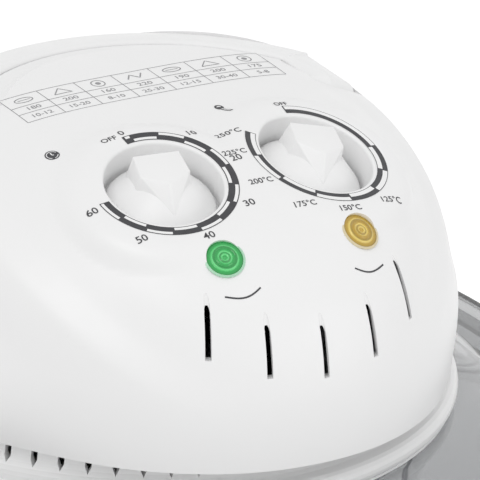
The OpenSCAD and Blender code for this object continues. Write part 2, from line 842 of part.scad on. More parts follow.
// The shield over the insulation carries the motor and the wiring
shield_z = pan_top_z + standoff_h;
shield_t = 1.5;
shield_top_z = shield_z + shield_t;

module heat_shield() color(steel)
    difference() {
        union() {
            translate([0, 0, shield_z])
                cylinder(h = shield_t, r = pan_r - 2);
            for (a = [90:120:330])
                rotate(a)
                    translate([70, 0, pan_top_z])
                        cylinder(h = standoff_h + shield_t / 2, r = 5, $fn = 32);
        }
        translate([0, 0, shield_z - cut])
            cylinder(h = shield_t + 2 * cut, r = pan_hole_r);
        for (a = [15:30:345])
            rotate(a)
                translate([82, 0, shield_z - cut])
                    cylinder(h = shield_t + 2 * cut, r = 3, $fn = 32);
    }

// The halogen lamp: a quartz ring with both ends turned up into ceramic holders
tube_gap_a = 16;
tube_z = lid_low_z - 11;
tube_end_x = tube_ring_r * sin(tube_gap_a);
tube_end_y = tube_ring_r * cos(tube_gap_a);
tube_end_z = pan_top_z - sheet_t - 10;

module halogen_tube() color([0.9, 0.85, 0.75, 0.7]) {
    translate([0, 0, tube_z])
        rotate(90 + tube_gap_a)
            rotate_extrude(angle = 360 - 2 * tube_gap_a)
                translate([tube_ring_r, 0])
                    circle(tube_r, $fn = 48);
    for (side = [-1, 1])
        translate([side * tube_end_x, tube_end_y, tube_z]) {
            sphere(tube_r + 0.8, $fn = 48);
            cylinder(h = tube_end_z + 3 - tube_z, r = tube_r + 0.3, $fn = 48);
        }
}

module tube_holders() color([0.93, 0.91, 0.85])
    for (side = [-1, 1])
        translate([side * tube_end_x, tube_end_y, tube_end_z])
            difference() {
                union() {
                    cylinder(h = 10, r = tube_r + 2.4, $fn = 48);
                    translate([0, 0, 10])
                        cylinder(h = sheet_t + 1.5, r = 2.8, $fn = 32);
                }
                translate([0, 0, -cut])
                    cylinder(h = 3.2 + cut, r = tube_r + 0.3 + push_gap, $fn = 48);
            }

// The wire guard under the lamp and the fan
guard_rim_t = 1.2;
guard_ear_r = 4.4;
guard_top_z = pan_flange_z;
guard_low_z = guard_top_z - guard_h;
guard_wall_r = guard_rim_in_r + 2;
guard_rings = 4;

module fan_guard() color(bright) {
    translate([0, 0, guard_top_z - guard_rim_t])
        linear_extrude(guard_rim_t)
            difference() {
                union() {
                    difference() {
                        circle(guard_rim_out_r);
                        circle(guard_rim_in_r);
                    }
                    for (a = [0:90:270])
                        rotate(a)
                            translate([clamp_ring_r, 0])
                                circle(guard_ear_r, $fn = 48);
                }
                for (a = [0:90:270])
                    rotate(a)
                        translate([clamp_ring_r, 0])
                            circle(clamp_screw_r + push_gap, $fn = 32);
            }
    translate([0, 0, guard_low_z + 1.4 * guard_wire_r])
        for (i = [1:guard_rings + 1])
            ring_wire(i * guard_wall_r / (guard_rings + 1.1), guard_wire_r * 0.8);
    translate([0, 0, guard_low_z - guard_wire_r / 2])
        cylinder(h = 1.6 * guard_wire_r, r = 9, $fn = 48);
    for (i = [0:guard_spokes - 1])
        rotate((i + 0.5) * 360 / guard_spokes) {
            translate([7, 0, guard_low_z])
                rotate([0, 90, 0])
                    cylinder(h = guard_wall_r - 6, r = guard_wire_r, $fn = 24);
            translate([guard_wall_r, 0, guard_low_z])
                cylinder(h = guard_h - 0.6, r = guard_wire_r * 0.8, $fn = 24);
        }
}

module guard_screws() color(steel)
    for (a = [0:90:270])
        rotate(a)
            translate([clamp_ring_r, 0, guard_top_z - guard_rim_t - 2.2]) {
                cylinder(h = 2.2, r = 3, $fn = 32);
                cylinder(h = 15, r = clamp_screw_r - push_gap / 2, $fn = 32);
            }

// The motor stands over the cooling fan on three posts
cool_fan_z = shield_top_z + 3.5;
bracket_z = cool_fan_z + cool_blade_h + 6;
bracket_t = 2;
bracket_post_ring_r = 76;
core_z = bracket_z + bracket_t + 4;
core_top_z = core_z + core_h;
bridge_z = core_top_z + 4;

module motor_bracket() color(steel)
    difference() {
        union() {
            translate([0, 0, bracket_z])
                cylinder(h = bracket_t, r = 25);
            translate([0, 0, bracket_z - 2])
                cylinder(h = bracket_t + 4, r = shaft_r + 3, $fn = 48);
            for (a = [30:120:270])
                rotate(a) {
                    translate([0, -6, bracket_z])
                        cube([bracket_post_ring_r, 12, bracket_t]);
                    translate([bracket_post_ring_r, 0, bracket_z])
                        cylinder(h = bracket_t, r = 6, $fn = 48);
                    translate([bracket_post_ring_r, 0, shield_top_z])
                        cylinder(h = bracket_z - shield_top_z, r = 4, $fn = 48);
                }
            for (x = [-1, 1])
                for (y = [-1, 1])
                    translate([x * 16, y * 14, bracket_z])
                        cylinder(h = bracket_t + 4, r = 3, $fn = 32);
        }
        translate([0, 0, bracket_z - 4])
            cylinder(h = 12, r = shaft_r + run_gap, $fn = 48);
    }

limb_x = 7;
window_x = 21;
core_front_y = 22;
core_back_y = 54;
window_y = 26;
window_l = 20;
coil_t = 6;

module motor_core() color([0.35, 0.36, 0.38])
    difference() {
        translate([-core_x, -core_front_y, core_z])
            cube([2 * core_x, core_front_y + core_back_y, core_h]);
        translate([0, 0, core_z - cut])
            cylinder(h = core_h + 2 * cut, r = rotor_r + 0.5);
        for (side = [-1, 1])
            translate([side * (limb_x + window_x) / 2, window_y + window_l / 2, core_z + core_h / 2])
                cube([window_x - limb_x, window_l, core_h + 2 * cut], center = true);
    }

module motor_coil() color([0.72, 0.4, 0.2])
    translate([0, window_y + window_l / 2, core_z + core_h / 2])
        difference() {
            cube([2 * (limb_x + coil_t), window_l - 1, core_h + 2 * coil_t], center = true);
            cube([2 * limb_x + 0.4, window_l + cut, core_h + 0.4], center = true);
        }

module bearing_bridge() color(steel)
    difference() {
        union() {
            translate([-24, -6, bridge_z])
                cube([48, 12, 2]);
            translate([0, 0, bridge_z - 1])
                cylinder(h = 4.5, r = shaft_r + 3, $fn = 48);
            for (side = [-1, 1])
                translate([side * 21, 0, core_top_z])
                    cylinder(h = bridge_z - core_top_z, r = 3, $fn = 32);
        }
        translate([0, 0, bridge_z - 2])
            cylinder(h = 4.2, r = shaft_r + run_gap, $fn = 48);
    }

// The clockwork timer and the thermostat hang from the floors of the two wells
control_z = -well_d - well_wall;
control_screw_y = 13;
control_screw_r = 1.3;
control_plate_t = 1.6;

module control_plate(length, width) {
    difference() {
        translate([-width / 2, -length / 2, -control_plate_t])
            cube([width, length, control_plate_t]);
        for (y = [-1, 1])
            translate([0, y * control_screw_y, -control_plate_t - cut])
                cylinder(h = control_plate_t + 2 * cut, r = control_screw_r, $fn = 24);
        translate([0, 0, -control_plate_t - cut])
            cylinder(h = control_plate_t + 2 * cut, r = spindle_r + rest_gap, $fn = 48);
    }
}

module terminal_tabs(z, spread) {
    for (side = [-1, 1])
        translate([side * spread - 3, -0.4, z - 6])
            cube([6, 0.8, 7]);
}

module timer_body() color([0.82, 0.82, 0.8])
    at_dial(-1)
        translate([0, 0, control_z]) {
            control_plate(34, 30);
            difference() {
                translate([0, 0, -control_plate_t - timer_case_h])
                    cylinder(h = timer_case_h, r = timer_case_r);
                translate([0, 0, -14])
                    cylinder(h = 16, r = spindle_r + run_gap, $fn = 48);
                for (y = [-1, 1])
                    translate([0, y * control_screw_y, -8])
                        cylinder(h = 10, r = control_screw_r, $fn = 24);
            }
            terminal_tabs(-control_plate_t - timer_case_h, 10);
        }

module thermostat_body() color([0.78, 0.76, 0.7])
    at_dial(1)
        translate([0, 0, control_z]) {
            control_plate(32, 22);
            difference() {
                translate([0, 0, -control_plate_t - stat_case_h])
                    cylinder(h = stat_case_h, r = stat_case_r);
                translate([0, 0, -14])
                    cylinder(h = 16, r = spindle_r + run_gap, $fn = 48);
                for (y = [-1, 1])
                    translate([0, y * control_screw_y, -8])
                        cylinder(h = 10, r = control_screw_r, $fn = 24);
            }
            terminal_tabs(-control_plate_t - stat_case_h, 8);
        }

module control_screws() color(steel)
    for (side = [-1, 1])
        at_dial(side)
            for (y = [-1, 1])
                translate([0, y * control_screw_y, -well_d - well_wall - 6])
                    cylinder(h = 6 + well_wall, r = control_screw_r - push_gap / 2, $fn = 24);

// A lamp lens: a low dome with a rim, on a barrel that holds the neon lamp
module lens(side) {
    at_lamp(side)
        difference() {
            union() {
                translate([0, 0, -7])
                    cylinder(h = 7.2, r = lens_r);
                translate([0, 0, 0.2])
                    rotate_extrude()
                        polygon(concat([[0, 0]], [for (i = [0:6])
                            let(a = 15 * i) [lens_r * cos(a), lens_dome * sin(a)]]));
            }
            translate([0, 0, -8])
                cylinder(h = 6.5, r = neon_r + push_gap, $fn = 48);
        }
}

module power_lens() color([0.05, 0.6, 0.25, 0.8])
    lens(-1);

module heat_lens() color([0.8, 0.5, 0.1, 0.8])
    lens(1);

module neon_lamps() color([0.95, 0.9, 0.85, 0.8])
    for (side = [-1, 1])
        at_lamp(side)
            translate([0, 0, -14])
                cylinder(h = 12.3, r = neon_r, $fn = 32);

module safety_switch() color(dark)
    at_plunger()
        translate([0, 0, switch_top_z - switch_h / 2])
            cube([switch_l, switch_w, switch_h], center = true);

module terminal_block() color([0.9, 0.9, 0.86])
    translate([0, 78, shield_top_z])
        difference() {
            translate([-20, -6, 0])
                cube([40, 12, 11]);
            for (x = [-15:10:15])
                translate([x, 0, 3])
                    cylinder(h = 9, r = 2.4, $fn = 24);
            for (x = [-15:10:15])
                translate([x, -8, 4])
                    rotate([-90, 0, 0])
                        cylinder(h = 16, r = 1.6, $fn = 24);
        }

module thermal_cutout() color(steel)
    rotate(-130)
        translate([78, 0, shield_top_z]) {
            cylinder(h = 5, r = 8, $fn = 48);
            translate([0, 0, 5])
                cylinder(h = 3.5, r = 6.5, $fn = 48);
            translate([-2, -9, 6])
                cube([4, 18, 0.8]);
        }

// The rubber grommet in the rear wall, where the supply lead enters
module cord_grommet() color(dark)
    at_grommet()
        difference() {
            union() {
                translate([0, 0, -skin_wall - 6.8])
                    cylinder(h = skin_wall + 10.8, r = grommet_r - push_gap);
                translate([0, 0, -skin_wall - 6.8])
                    cylinder(h = 2.2, r = grommet_r + 1.6);
                translate([0, 0, 0.4])
                    cylinder(h = 2.5, r = grommet_r + 2);
            }
            translate([0, 0, -skin_wall - 8])
                cylinder(h = skin_wall + 13, r = 3.8);
        }

module pivot_pins() color(steel)
    for (side = [-1, 1])
        at_pivot(side)
            translate([0, 0, 0.3 - pin_in])
                cylinder(h = pin_in + pin_out - 0.3, r = pivot_pin_r, $fn = 48);

// The carrying handle lies in an arc on top of the head and swings up about two pins
module handle_section() {
    polygon([
        [handle_in_r + handle_draft, handle_z + 0.8], [handle_in_r + handle_draft + 0.8, handle_z],
        [handle_out_r - 1, handle_z],
        [handle_out_r, handle_z + 1], [handle_out_r, handle_top_z - 2.2], [handle_out_r - 0.8, handle_top_z - 0.7],
        [handle_out_r - 2.4, handle_top_z], [handle_in_r + 3, handle_crest_z],
        [handle_in_r + 1, handle_crest_z - 0.4], [handle_in_r + 0.1, handle_crest_z - 1.6]]);
}

module handle_end(side) {
    hull() {
        at_pivot(side) {
            cylinder(h = pivot_t - 11, r = pivot_r, $fn = 32);
            translate([side * pivot_tip_drop, 0, 0])
                cylinder(h = pivot_t, r = pivot_tip_r, $fn = 32);
        }
        at_handle()
            rotate(side > 0 ? handle_end_a + root_a : 180 - handle_end_a - root_a)
                rotate([90, 0, 0])
                    linear_extrude(0.5, center = true)
                        offset(delta = -0.12)
                            handle_section();
    }
}

module carry_handle() color(white)
    difference() {
        union() {
            at_handle()
                rotate(handle_end_a)
                    rotate_extrude(angle = 180 - 2 * handle_end_a, $fn = 128)
                        handle_section();
            for (side = [-1, 1])
                handle_end(side);
        }
        for (side = [-1, 1])
            at_pivot(side)
                translate([0, 0, -3 * cut])
                    cylinder(h = pin_out + 3 * cut + rest_gap, r = pivot_pin_r + run_gap, $fn = 48);
    }

module switch_plunger() color([0.75, 0.1, 0.1])
    at_plunger() {
        translate([0, 0, switch_top_z + rest_gap])
            cylinder(h = shelf_z - switch_top_z - rest_gap + 0.1, r = plunger_r, $fn = 48);
        translate([0, 0, switch_top_z + rest_gap])
            cylinder(h = 2, r = plunger_r + 1.5, $fn = 48);
    }

// A knob: a conical skirt sunk in the well, with a broad grip that tapers to a tip
knob_low = -well_d + 0.6;
knob_rim = knob_low + 2;

module knob() {
    difference() {
        union() {
            rotate_extrude()
                polygon([[0, knob_low], [knob_r, knob_low], [knob_r, knob_rim], [knob_r - 0.8, knob_rim + 0.8],
                    [6, knob_top - 3.5], [0, knob_top - 2]]);
            hull() {
                for (side = [-1, 1]) {
                    translate([side * (grip_w / 2 - 2), 13, knob_top - 3])
                        sphere(2, $fn = 24);
                    translate([side * (grip_w / 2 - 1.5), 12.5, knob_low + 1])
                        cylinder(h = 1, r = 2, $fn = 24);
                    translate([side * (grip_w / 2 - 3), 1, knob_top - 2])
                        sphere(2, $fn = 24);
                }
                translate([0, -knob_r + 2.2, knob_rim + 1])
                    sphere(1.6, $fn = 24);
                translate([0, -knob_r + 2, knob_low])
                    cylinder(h = 1, r = 1.8, $fn = 24);
            }
        }
        translate([0, 0, knob_low - cut])
            cylinder(h = 9 + cut, r = spindle_r, $fn = 48);
    }
}

module spindle() {
    translate([0, 0, control_z - 13])
        cylinder(h = knob_low - control_z + 13 + 8.8, r = spindle_r, $fn = 48);
}

module timer_knob() color(white)
    at_dial(-1)
        knob();

module temperature_knob() color(white)
    at_dial(1)
        knob();

module timer_shaft() color(steel)
    at_dial(-1)
        spindle();

module thermostat_shaft() color(steel)
    at_dial(1)
        spindle();

// The motor's shaft turns the cooling fan in the head and the hot air fan under the reflector
hot_fan_z = pan_top_z - sheet_t - 12;
hub_r = shaft_r + 4;
nut_h = 5;
shaft_low_z = hot_fan_z - hot_blade_h - nut_h - 1;

module motor_shaft() color(steel)
    translate([0, 0, shaft_low_z])
        cylinder(h = bridge_z + 2 - shaft_low_z, r = shaft_r, $fn = 48);

module motor_rotor() color([0.5, 0.51, 0.53])
    translate([0, 0, core_z - 1])
        difference() {
            cylinder(h = core_h + 2, r = rotor_r);
            translate([0, 0, -cut])
                cylinder(h = core_h + 2 + 2 * cut, r = shaft_r, $fn = 48);
        }

module fan_blade(length, start, height) {
    translate([start, 0, 0])
        rotate(18)
            cube([length - start, 1.2, height]);
}

module hot_air_fan() color(bright)
    difference() {
        union() {
            translate([0, 0, hot_fan_z])
                cylinder(h = 1.2, r = hot_fan_r);
            translate([0, 0, hot_fan_z - hot_blade_h])
                cylinder(h = hot_blade_h, r = hub_r, $fn = 48);
            translate([0, 0, hot_fan_z - hot_blade_h + 1])
                for (i = [0:fan_blades - 1])
                    rotate(i * 360 / fan_blades)
                        fan_blade(hot_fan_r - 2, 20, hot_blade_h - 0.5);
        }
        translate([0, 0, hot_fan_z - hot_blade_h - cut])
            cylinder(h = hot_blade_h + 1.2 + 2 * cut, r = shaft_r, $fn = 48);
    }

module cooling_fan() color([0.25, 0.26, 0.28])
    difference() {
        union() {
            translate([0, 0, cool_fan_z])
                cylinder(h = 1.2, r = cool_fan_r);
            translate([0, 0, cool_fan_z])
                cylinder(h = cool_blade_h, r = hub_r, $fn = 48);
            translate([0, 0, cool_fan_z + 0.6])
                for (i = [0:fan_blades - 1])
                    rotate(i * 360 / fan_blades)
                        fan_blade(cool_fan_r - 2, 22, cool_blade_h);
        }
        translate([0, 0, cool_fan_z - cut])
            cylinder(h = cool_blade_h + 2 * cut, r = shaft_r, $fn = 48);
    }

module fan_nut() color(steel)
    translate([0, 0, hot_fan_z - hot_blade_h - nut_h])
        difference() {
            cylinder(h = nut_h, r = 7, $fn = 6);
            translate([0, 0, -cut])
                cylinder(h = nut_h + 2 * cut, r = shaft_r, $fn = 48);
        }

stand();
rubber_feet();
glass_bowl();
cooking_rack();
lid_glass();
lid_gasket();
lower_housing();
main_housing();
housing_screws();
reflector_pan();
clamp_screws();
insulation_disc();
heat_shield();
halogen_tube();
tube_holders();
fan_guard();
guard_screws();
motor_bracket();
motor_core();
motor_coil();
bearing_bridge();
timer_body();
thermostat_body();
control_screws();
power_lens();
heat_lens();
neon_lamps();
safety_switch();
terminal_block();
thermal_cutout();
cord_grommet();
pivot_pins();
carry_handle();
switch_plunger();
timer_knob();
timer_shaft();
temperature_knob();
thermostat_shaft();
motor_shaft();
motor_rotor();
hot_air_fan();
cooling_fan();
fan_nut();
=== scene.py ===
import math
from math import cos, pi, radians, sin

import bmesh
import bpy
import numpy as np
from bpy.props import FloatProperty, FloatVectorProperty, IntProperty, PointerProperty
from mathutils import Matrix, Vector


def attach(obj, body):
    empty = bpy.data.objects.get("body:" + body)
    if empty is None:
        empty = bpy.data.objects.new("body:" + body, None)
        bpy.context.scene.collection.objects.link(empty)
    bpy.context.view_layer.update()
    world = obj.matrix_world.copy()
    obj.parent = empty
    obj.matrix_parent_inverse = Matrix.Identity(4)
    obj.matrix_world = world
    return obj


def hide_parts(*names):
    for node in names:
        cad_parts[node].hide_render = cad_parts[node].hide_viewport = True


bl_info = {
    "name": "Halogen Oven",
    "version": (1, 0, 0),
    "blender": (4, 5, 0),
    "location": "3D View > Sidebar > Halogen Oven",
    "description": "Dresses the halogen oven's solids: head, handle, dials, lamps, print, glass and stage",
    "category": "Object",
}

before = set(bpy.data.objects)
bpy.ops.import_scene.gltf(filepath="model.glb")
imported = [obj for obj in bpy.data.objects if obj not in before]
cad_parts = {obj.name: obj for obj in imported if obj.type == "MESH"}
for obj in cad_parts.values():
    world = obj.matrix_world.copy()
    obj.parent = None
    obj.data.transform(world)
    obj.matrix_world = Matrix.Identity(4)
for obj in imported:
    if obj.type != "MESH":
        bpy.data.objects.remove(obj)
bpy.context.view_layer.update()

# Shapes are written in millimetres, and raw_mesh and wrap turn them into metres.
MM = 0.001
TABLE_TO_FLANGE = 200.0
SKIN_BASE = 220.0

# The handle: the middle of its arc, the turn angle where the arc ends, and the pivot of its right end,
# above the flange. An end is a round arm that stands off the pivot, in a pocket that reaches past it.
ARC_CENTRE = (0.0, -31.0)
ARC_END = radians(31.2)
PIVOT = (64.5, -5.0, 93.0)
PIVOT_REACH = 18.9
ARM_OFFSET = 3.5
ARM_RADIUS = 4

# Degrees between two front slots, a lamp lens's radius, and how far its rings of painted highlight and
# painted shade reach, in metres.
SLOT_PITCH = 9.6
LENS_RADIUS = 6.2
LENS_PAINTED_RINGS = 0.0072

# Where the camera stands, in metres, and its azimuth, elevation and roll, in degrees.
CAMERA_PLACE = (-1.55139, -2.36116, 1.51252)
CAMERA_TURN = (-34.08, 24.06, 4.0)

# A boolean that keeps less than this share of a piece's points has failed.
LEAST_KEPT = 0.4


class OVEN_PG_head(bpy.types.PropertyGroup):
    round_radius: FloatProperty(
        name="Round radius", description="Radius of the round part of the head",
        default=0.1152, unit="LENGTH")
    round_height: FloatProperty(
        name="Round height", description="Height of the round part above its base",
        default=0.0787, unit="LENGTH")
    panel_half_width: FloatProperty(
        name="Panel half width", description="Half width of the control panel's hump",
        default=0.1, unit="LENGTH")
    nose_reach: FloatProperty(
        name="Nose reach", description="How far the hump reaches to the front",
        default=0.126, unit="LENGTH")
    back_reach: FloatProperty(
        name="Back reach", description="How far the hump reaches to the rear",
        default=0.096, unit="LENGTH")
    panel_height: FloatProperty(
        name="Hump height", description="Height of the hump above its base", default=0.087, unit="LENGTH")
    crease_depth: FloatProperty(
        name="Crease depth", description="Depth of the soft crease beside the panel",
        default=0.0026, unit="LENGTH")
    wall: FloatProperty(
        name="Wall", description="Thickness of the moulded skin", default=0.003, unit="LENGTH")


class OVEN_PG_dials(bpy.types.PropertyGroup):
    well_radius: FloatProperty(
        name="Well radius", description="Radius of the well round each knob",
        default=0.0199, unit="LENGTH")
    well_depth: FloatProperty(
        name="Well depth", description="Depth of each well", default=0.012, unit="LENGTH")
    lip: FloatProperty(
        name="Lip", description="Radius of the rounded edge of each well", default=0.001, unit="LENGTH")
    knob_radius: FloatProperty(
        name="Knob radius", description="Radius of each knob's skirt", default=0.0184, unit="LENGTH")
    ring_inner: FloatProperty(
        name="Ring inside", description="Inner radius of the printed ring",
        default=0.0212, unit="LENGTH")
    ring_outer: FloatProperty(
        name="Ring outside", description="Outer radius of the printed ring",
        default=0.0249, unit="LENGTH")
    number_size: FloatProperty(
        name="Number size", description="Height of the printed numbers", default=0.0041, unit="LENGTH")


class OVEN_PG_colours(bpy.types.PropertyGroup):
    white: FloatVectorProperty(
        name="White plastic", description="Colour of the head and knobs",
        default=(0.93, 0.93, 0.93), subtype="COLOR", min=0, max=1)
    ink: FloatVectorProperty(
        name="Ink", description="Colour of the print",
        default=(0.045, 0.045, 0.05), subtype="COLOR", min=0, max=1)
    pale_ink: FloatVectorProperty(
        name="Pale ink", description="Colour of the thin print on top",
        default=(0.30, 0.30, 0.31), subtype="COLOR", min=0, max=1)
    green: FloatVectorProperty(
        name="Green lamp", description="Colour of the left lamp",
        default=(0.0, 0.46, 0.075), subtype="COLOR", min=0, max=1)
    amber: FloatVectorProperty(
        name="Amber lamp", description="Colour of the right lamp",
        default=(0.62, 0.39, 0.016), subtype="COLOR", min=0, max=1)
    glass: FloatVectorProperty(
        name="Glass", description="Tint of the lid and bowl",
        default=(0.46, 0.465, 0.47), subtype="COLOR", min=0, max=1)


class OVEN_PG_stage(bpy.types.PropertyGroup):
    floor_size: FloatProperty(
        name="Floor size", description="Width of the floor", default=120.0, unit="LENGTH")
    floor_glow: FloatProperty(
        name="Floor glow", description="How much the camera sees the floor lifted to white",
        default=0.45, min=0, max=1)
    room_light: FloatProperty(
        name="Room light", description="Strength of the even light of the room",
        default=0.77, min=0, max=2)
    key_power: FloatProperty(
        name="Key power", description="Power of the large lamp at the upper left", default=9.0, min=0)
    fill_power: FloatProperty(
        name="Fill power", description="Power of the large lamp at the right", default=4.5, min=0)
    lens: FloatProperty(
        name="Lens", description="Focal length in millimetres", default=691.1, min=1)


class OVEN_PG_settings(bpy.types.PropertyGroup):
    head: PointerProperty(type=OVEN_PG_head)
    dials: PointerProperty(type=OVEN_PG_dials)
    colours: PointerProperty(type=OVEN_PG_colours)
    stage: PointerProperty(type=OVEN_PG_stage)
    steps: IntProperty(
        name="Steps round", description="Points round the head's skin", default=360, min=60)


def settings():
    return bpy.context.scene.halogen_oven


def add_node(tree, kind, inputs=None, **traits):
    """A new shader node; an input that is given another node's output is linked to it."""
    node = tree.nodes.new("ShaderNode" + kind)
    for trait, value in traits.items():
        setattr(node, trait, value)
    for key, value in (inputs or {}).items():
        if isinstance(value, bpy.types.NodeSocket):
            tree.links.new(value, node.inputs[key])
        else:
            node.inputs[key].default_value = value
    return node


class Finish:
    """A small builder for one material's nodes, with plain values for sockets of its shader."""

    def __init__(self, name, **values):
        self.material = bpy.data.materials.new(name)
        self.material.use_nodes = True
        self.tree = self.material.node_tree
        self.shader = self.tree.nodes["Principled BSDF"]
        self.place = add_node(self.tree, "TexCoord").outputs["Object"]
        for key, value in values.items():
            self.shader.inputs[key.replace("_", " ")].default_value = value

    def feed(self, socket, output):
        self.tree.links.new(output, self.shader.inputs[socket])

    def noise(self, scale, detail, stretch=None):
        """Noise over the piece, drawn out along an axis where stretch is given."""
        place = self.place
        if stretch:
            place = add_node(self.tree, "Mapping", {"Scale": stretch, "Vector": place}).outputs["Vector"]
        inputs = {"Scale": scale, "Detail": detail, "Vector": place}
        return add_node(self.tree, "TexNoise", inputs).outputs["Fac"]

    def gloss(self, fac, low, high):
        """Lets the roughness wander between two values; noise lies mostly between 0.3 and 0.7."""
        inputs = {"Value": fac, "From Min": 0.3, "From Max": 0.7, "To Min": low, "To Max": high}
        self.feed("Roughness", add_node(self.tree, "MapRange", inputs).outputs["Result"])

    def colour(self, fac, first, second):
        inputs = {"Factor": fac, "A": (*first, 1), "B": (*second, 1)}
        self.feed("Base Color", add_node(self.tree, "Mix", inputs, data_type="RGBA").outputs["Result"])

    def bump(self, fac, depth, strength):
        inputs = {"Height": fac, "Distance": depth, "Strength": strength}
        self.feed("Normal", add_node(self.tree, "Bump", inputs).outputs["Normal"])


def shade(colour, factor):
    return tuple(min(1.0, c * factor) for c in colour)


def surface(name, colour, shades, cloud, wear, gloss, grain, depth, strength, **values):
    """A finish whose colour, gloss and height each wander with a noise of (scale, detail)."""
    f = Finish(name, **values)
    f.colour(f.noise(*cloud), shade(colour, shades[0]), shade(colour, shades[1]))
    f.gloss(f.noise(*wear), *gloss)
    f.bump(f.noise(*grain), depth, strength)
    return f.material


def moulded(name, colour, low, high):
    """Moulded plastic: a trace of cloudiness, a fine grain, and gloss that wanders a little."""
    return surface(name, colour, (0.985, 1.0), (26, 4), (90, 5), (low, high), (2600, 2), 0.000012, 0.6)


def printed(name, colour):
    """Pad print: matt ink with a slightly uneven coat."""
    return surface(name, colour, (0.85, 1.15), (500, 3), (300, 3), (0.42, 0.6), (3000, 2), 0.000006, 0.5)


def rubber(name, colour):
    """Rubber and silicone: dull, with a soft coarse grain."""
    return surface(name, colour, (0.8, 1.2), (120, 4), (400, 4), (0.62, 0.85), (1800, 3), 0.00003, 0.7)


def sheet_metal(name, colour, low, high, stretch=(1, 1, 30)):
    """Rolled or drawn sheet: one fine directional grain in colour, gloss and height."""
    f = Finish(name, Metallic=1.0)
    grain = f.noise(160, 4, stretch)
    f.colour(grain, shade(colour, 0.88), colour)
    f.gloss(grain, low, high)
    f.bump(grain, 0.000008, 0.5)
    return f.material


def chromed(name, colour):
    """Plated wire: bright, with faint unevenness."""
    return surface(name, colour, (0.94, 1.0), (60, 3), (220, 4), (0.06, 0.16), (900, 2), 0.000004, 0.4,
                   Metallic=1.0)


def cast(name, colour, metallic, low, high, scale):
    """Ceramic, pressed fibre, wound tape and laminated steel: dull and finely rough."""
    return surface(name, colour, (0.86, 1.05), (scale * 0.3, 5), (scale, 3), (low, high), (scale * 2, 4),
                   0.00005, 0.7, Metallic=metallic)


def clear(name, colour, ior=1.47, low=0.0, high=0.03):
    """Pressed glass: clear, with very slight waves and a gloss that wanders."""
    return surface(name, colour, (0.985, 1.0), (14, 2), (40, 3), (low, high), (35, 1), 0.00004, 0.25,
                   Transmission_Weight=1.0, IOR=ior)


def lens_plastic(name, colour, centre=None):
    """Clear coloured plastic of the lamps, with painted highlights and painted shade in rings where it is
    moulded in steps.
    """
    f = Finish(name, Transmission_Weight=0.12, IOR=1.49, Coat_Weight=1.0, Coat_Roughness=0.03)
    if centre is None:
        f.colour(f.noise(300, 2), shade(colour, 0.9), shade(colour, 1.1))
        return f.material
    middle = tuple(c * MM for c in centre)
    away = add_node(f.tree, "VectorMath", {0: f.place, 1: middle}, operation="DISTANCE")
    scale = add_node(f.tree, "Math", {0: away.outputs["Value"], 1: LENS_PAINTED_RINGS}, operation="DIVIDE")
    # The ramp paints rings of highlight and shade by distance from the lens's middle.
    rings = add_node(f.tree, "ValToRGB", {"Fac": scale.outputs[0]})
    # deep is painted shade and bright is painted highlight.
    deep, bright = shade(colour, 0.66), tuple(min(1, 1.6 * c + 0.16) for c in colour)
    stops = rings.color_ramp.elements
    stops[0].color = stops[1].color = (*bright, 1)
    for place, tone in ((0.05, deep), (0.11, bright), (0.16, colour), (0.22, bright), (0.28, deep),
                        (0.34, bright), (0.40, colour), (0.58, deep), (0.64, bright), (0.70, colour),
                        (0.86, deep)):
        stops.new(place).color = (*tone, 1)
    f.feed("Base Color", rings.outputs["Color"])
    return f.material


def finish(kind):
    """Returns the material of this kind, made on first use."""
    name = "oven_" + kind
    if name in bpy.data.materials:
        return bpy.data.materials[name]
    c = settings().colours
    maker, *values = {
        "white_plastic": (moulded, c.white, 0.30, 0.40),
        "white_print": (moulded, c.white, 0.38, 0.46),
        "black_print": (printed, c.ink),
        "grey_print": (printed, c.pale_ink),
        "black_rubber": (rubber, (0.028, 0.028, 0.03)),
        "grey_silicone": (rubber, (0.11, 0.11, 0.115)),
        "lid_glass_clear": (clear, c.glass),
        "bowl_glass_clear": (clear, shade(c.glass, 1.45)),
        "quartz_tube": (clear, (0.93, 0.92, 0.88), 1.46, 0.02, 0.1),
        "neon_glass": (clear, (0.95, 0.9, 0.86), 1.5, 0.0, 0.04),
        "chrome_wire": (chromed, (0.80, 0.80, 0.82)),
        "zinc_steel": (sheet_metal, (0.60, 0.61, 0.63), 0.28, 0.42),
        "bright_sheet": (sheet_metal, (0.78, 0.78, 0.80), 0.16, 0.30, (1, 1, 12)),
        "fan_sheet": (sheet_metal, (0.72, 0.72, 0.74), 0.22, 0.36, (8, 8, 1)),
        "ceramic_fibre": (cast, (0.82, 0.80, 0.74), 0, 0.85, 0.98, 900),
        "ceramic": (cast, (0.86, 0.84, 0.78), 0, 0.55, 0.75, 600),
        "laminated_steel": (cast, (0.26, 0.26, 0.28), 0.8, 0.4, 0.6, 500),
        "coil_tape": (cast, (0.62, 0.40, 0.10), 0, 0.5, 0.65, 450),
        "grey_plastic": (moulded, (0.62, 0.62, 0.60), 0.42, 0.55),
        "black_plastic": (moulded, (0.035, 0.035, 0.037), 0.40, 0.55),
        "red_plastic": (moulded, (0.55, 0.05, 0.04), 0.32, 0.42),
        "green_lens": (lens_plastic, c.green, lamp_frame(-1).translation),
        "amber_lens": (lens_plastic, c.amber, lamp_frame(1).translation),
        "green_rim": (lens_plastic, (0.45, 0.78, 0.55)),
        "amber_rim": (lens_plastic, (0.80, 0.70, 0.45)),
    }[kind]
    return maker(name, *values)


def circle(steps):
    """Turn angles of a full circle."""
    return np.linspace(0, 2 * pi, steps, endpoint=False)


def quads(rows, width, closed=False):
    """Faces between rings of points; closed also joins the last ring to the first."""
    faces = []
    for k in range(rows if closed else rows - 1):
        low, high = k * width, (k + 1) % rows * width
        for i in range(width):
            j = (i + 1) % width
            faces.append((low + i, low + j, high + j, high + i))
    return faces


def tube(rows, width):
    """Faces of a tube of rings, with both ends closed."""
    return quads(rows, width) + [tuple(range(width)), tuple(range((rows - 1) * width, rows * width))]


